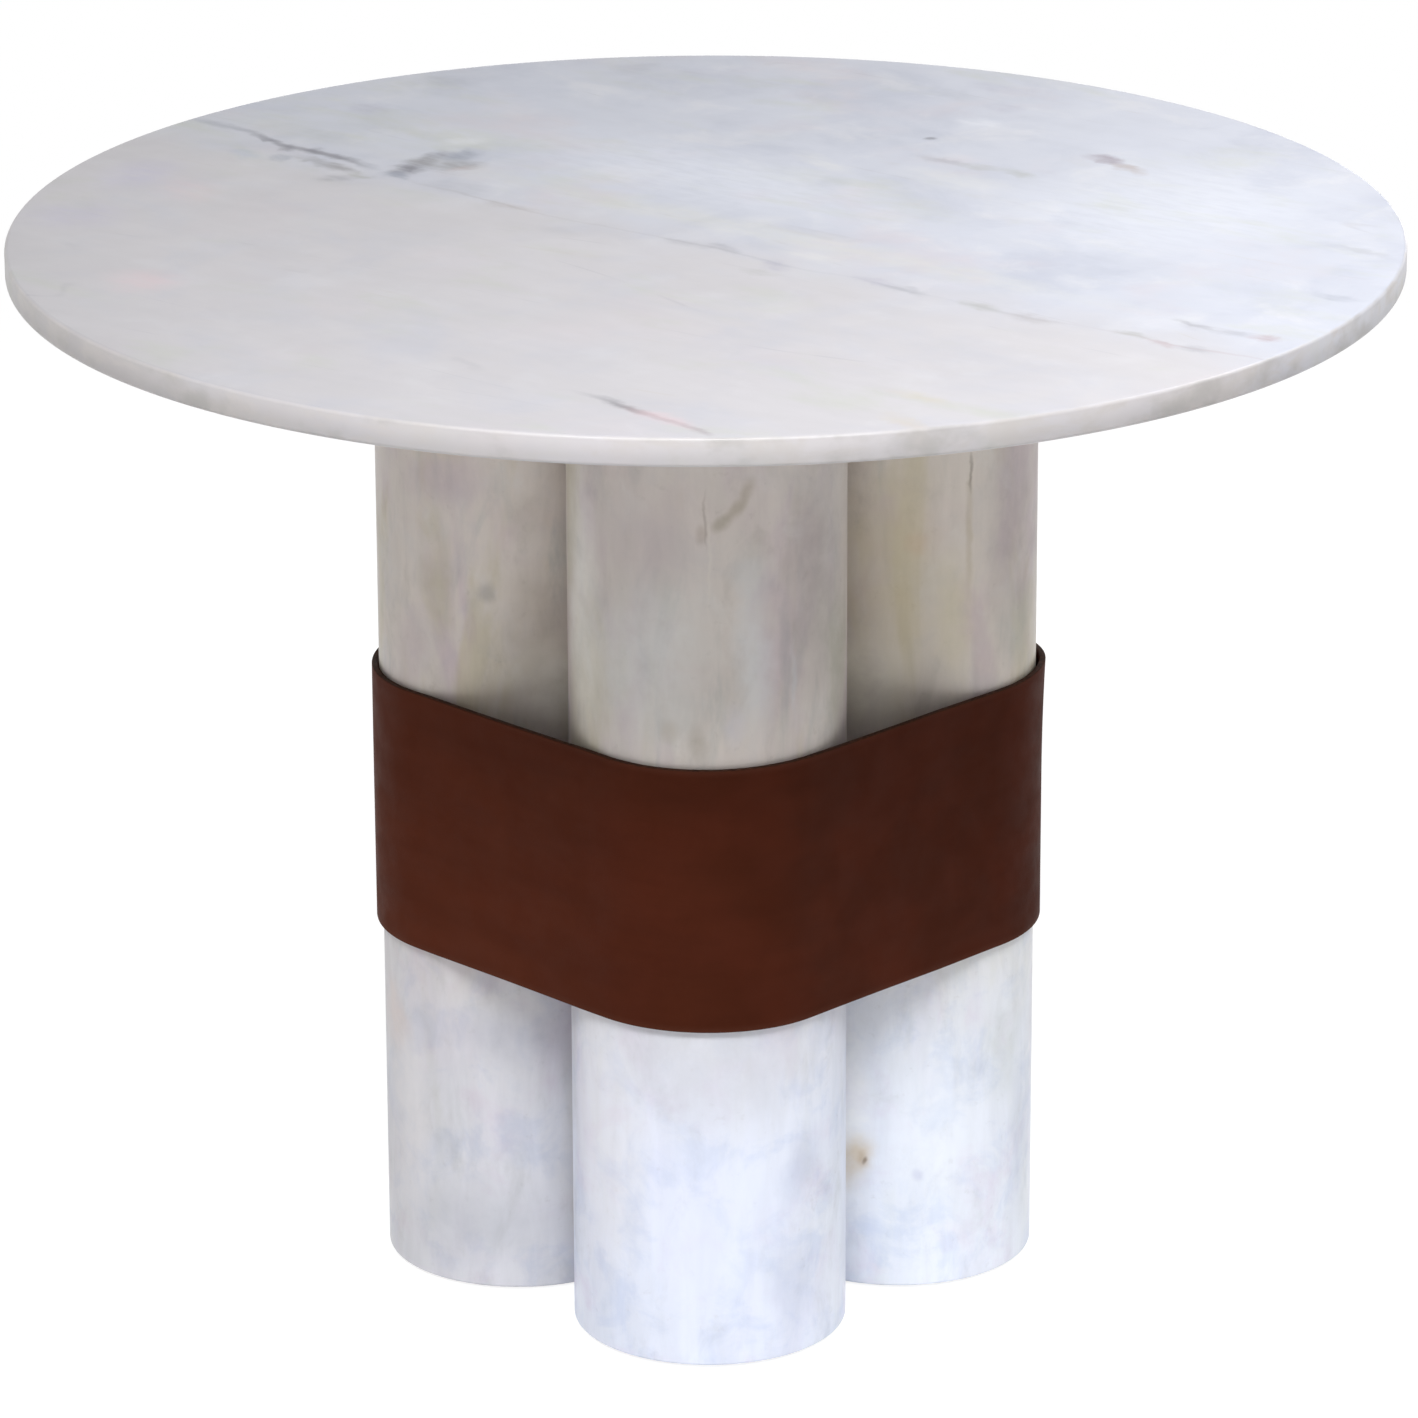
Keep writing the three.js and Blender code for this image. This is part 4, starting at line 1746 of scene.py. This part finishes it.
@dataclass
class Studio:
    """Floor, lamps, surroundings and camera."""

    lens: float = 190.87
    film: float = 36.0
    eye: Triple = (0.0, -4.9788, 2.1561)
    pitch: float = 0.3386
    yaw: float = -0.0002
    roll: float = -0.004
    floor_half: float = 14.0
    fill: Colour = (1.0, 0.96, 0.92)
    fill_level: float = 0.22
    lamps: tuple[Lamp, ...] = (
        Lamp("key_lamp", (-0.25, -2.7, 3.7), (0.0, 0.0, 0.4), 4.2, 0.8, 188.0, (0.97, 0.985, 1.0)),
        Lamp("side_lamp", (1.45, 0.3, 2.0), (0.2, 0.0, 0.75), 0.8, 0.8, 14.0, (0.98, 0.99, 1.0)),
        Lamp("back_lamp", (0.95, 3.2, 2.25), (0.1, 0.0, 0.7), 1.2, 1.2, 3.0, (0.98, 0.99, 1.0)),
        Lamp("rear_lamp", (0.5, 3.4, 0.42), (0.0, 0.0, 0.4), 2.6, 0.5, 14.0, (1.0, 1.0, 1.0)),
        Lamp("low_lamp", (-0.3, -3.6, 0.9), (0.0, 0.0, 0.45), 2.4, 1.0, 8.0, (0.97, 0.985, 1.0)),
    )

    def build(self) -> None:
        """Set the whole studio up."""
        self._lay_floor()
        self._set_world()
        for lamp in self.lamps:
            self._hang(lamp)
        self._place_camera()
        bpy.context.scene.view_settings.view_transform = "Standard"

    def _lay_floor(self) -> None:
        """Lay the floor."""
        shape = bmesh.new()
        bmesh.ops.create_grid(shape, x_segments=4, y_segments=4, size=self.floor_half)
        floor = piece_from(shape, "studio_floor")
        floor.data.materials.append(PaleFloor().material())

    def _set_world(self) -> None:
        """Fill the surroundings with soft light, white where they are seen."""
        world = bpy.data.worlds.new("studio")
        bpy.context.scene.world = world
        sheet = NodeSheet(world)
        soft = {"Color": self.fill, "Strength": self.fill_level}
        fill = sheet.add("ShaderNodeBackground", inputs=soft)
        white = sheet.add("ShaderNodeBackground", inputs={"Color": WHITE, "Strength": 1.0})
        sky = sheet.blend(sheet.seen(), fill, white)
        sheet.add("ShaderNodeOutputWorld", inputs={"Surface": sheet.out(sky)})

    def _hang(self, lamp: Lamp) -> None:
        """Hang one lamp and turn it to its aim.

        Args:
            lamp: The lamp.
        """
        data = bpy.data.lights.new(lamp.name, "AREA")
        data.shape = "RECTANGLE"
        data.size = lamp.width
        data.size_y = lamp.height
        data.energy = lamp.power
        data.color = lamp.tint
        holder = bpy.data.objects.new(lamp.name, data)
        place, aim = Vector(lamp.place), Vector(lamp.aim)
        facing = (aim - place).to_track_quat("-Z", "Y").to_matrix().to_4x4()
        holder.matrix_world = Matrix.Translation(place) @ facing
        holder.visible_camera = False
        bpy.context.scene.collection.objects.link(holder)

    def _place_camera(self) -> None:
        """Place the camera where the photograph was taken from."""
        data = bpy.data.cameras.new("camera")
        data.sensor_fit = "HORIZONTAL"
        data.sensor_width = self.film
        data.lens = self.lens
        camera = bpy.data.objects.new("camera", data)
        tilt = Matrix.Rotation(self.yaw, 4, "Z") @ Matrix.Rotation(QUARTER - self.pitch, 4, "X")
        roll = Matrix.Rotation(self.roll, 4, "Z")
        camera.matrix_world = Matrix.Translation(self.eye) @ tilt @ roll
        bpy.context.scene.collection.objects.link(camera)
        bpy.context.scene.camera = camera


def main() -> None:
    """Build the table's looks and the studio around it."""
    logging.basicConfig(level=logging.INFO, format="%(name)s %(message)s")
    columns = tuple(ColumnPlace)
    Studio().build()
    SlabTop().build(columns)
    for place in columns:
        StoneColumn(place).build()
    posts = tuple(LapPost(number) for number in range(1, 9))
    band = StrapBand()
    band.build(posts)
    brass = AgedBrass().material()
    for post in posts:
        post.build(band, brass)
    HiddenFittings().build(columns)


if __name__ == "__main__":
    main()
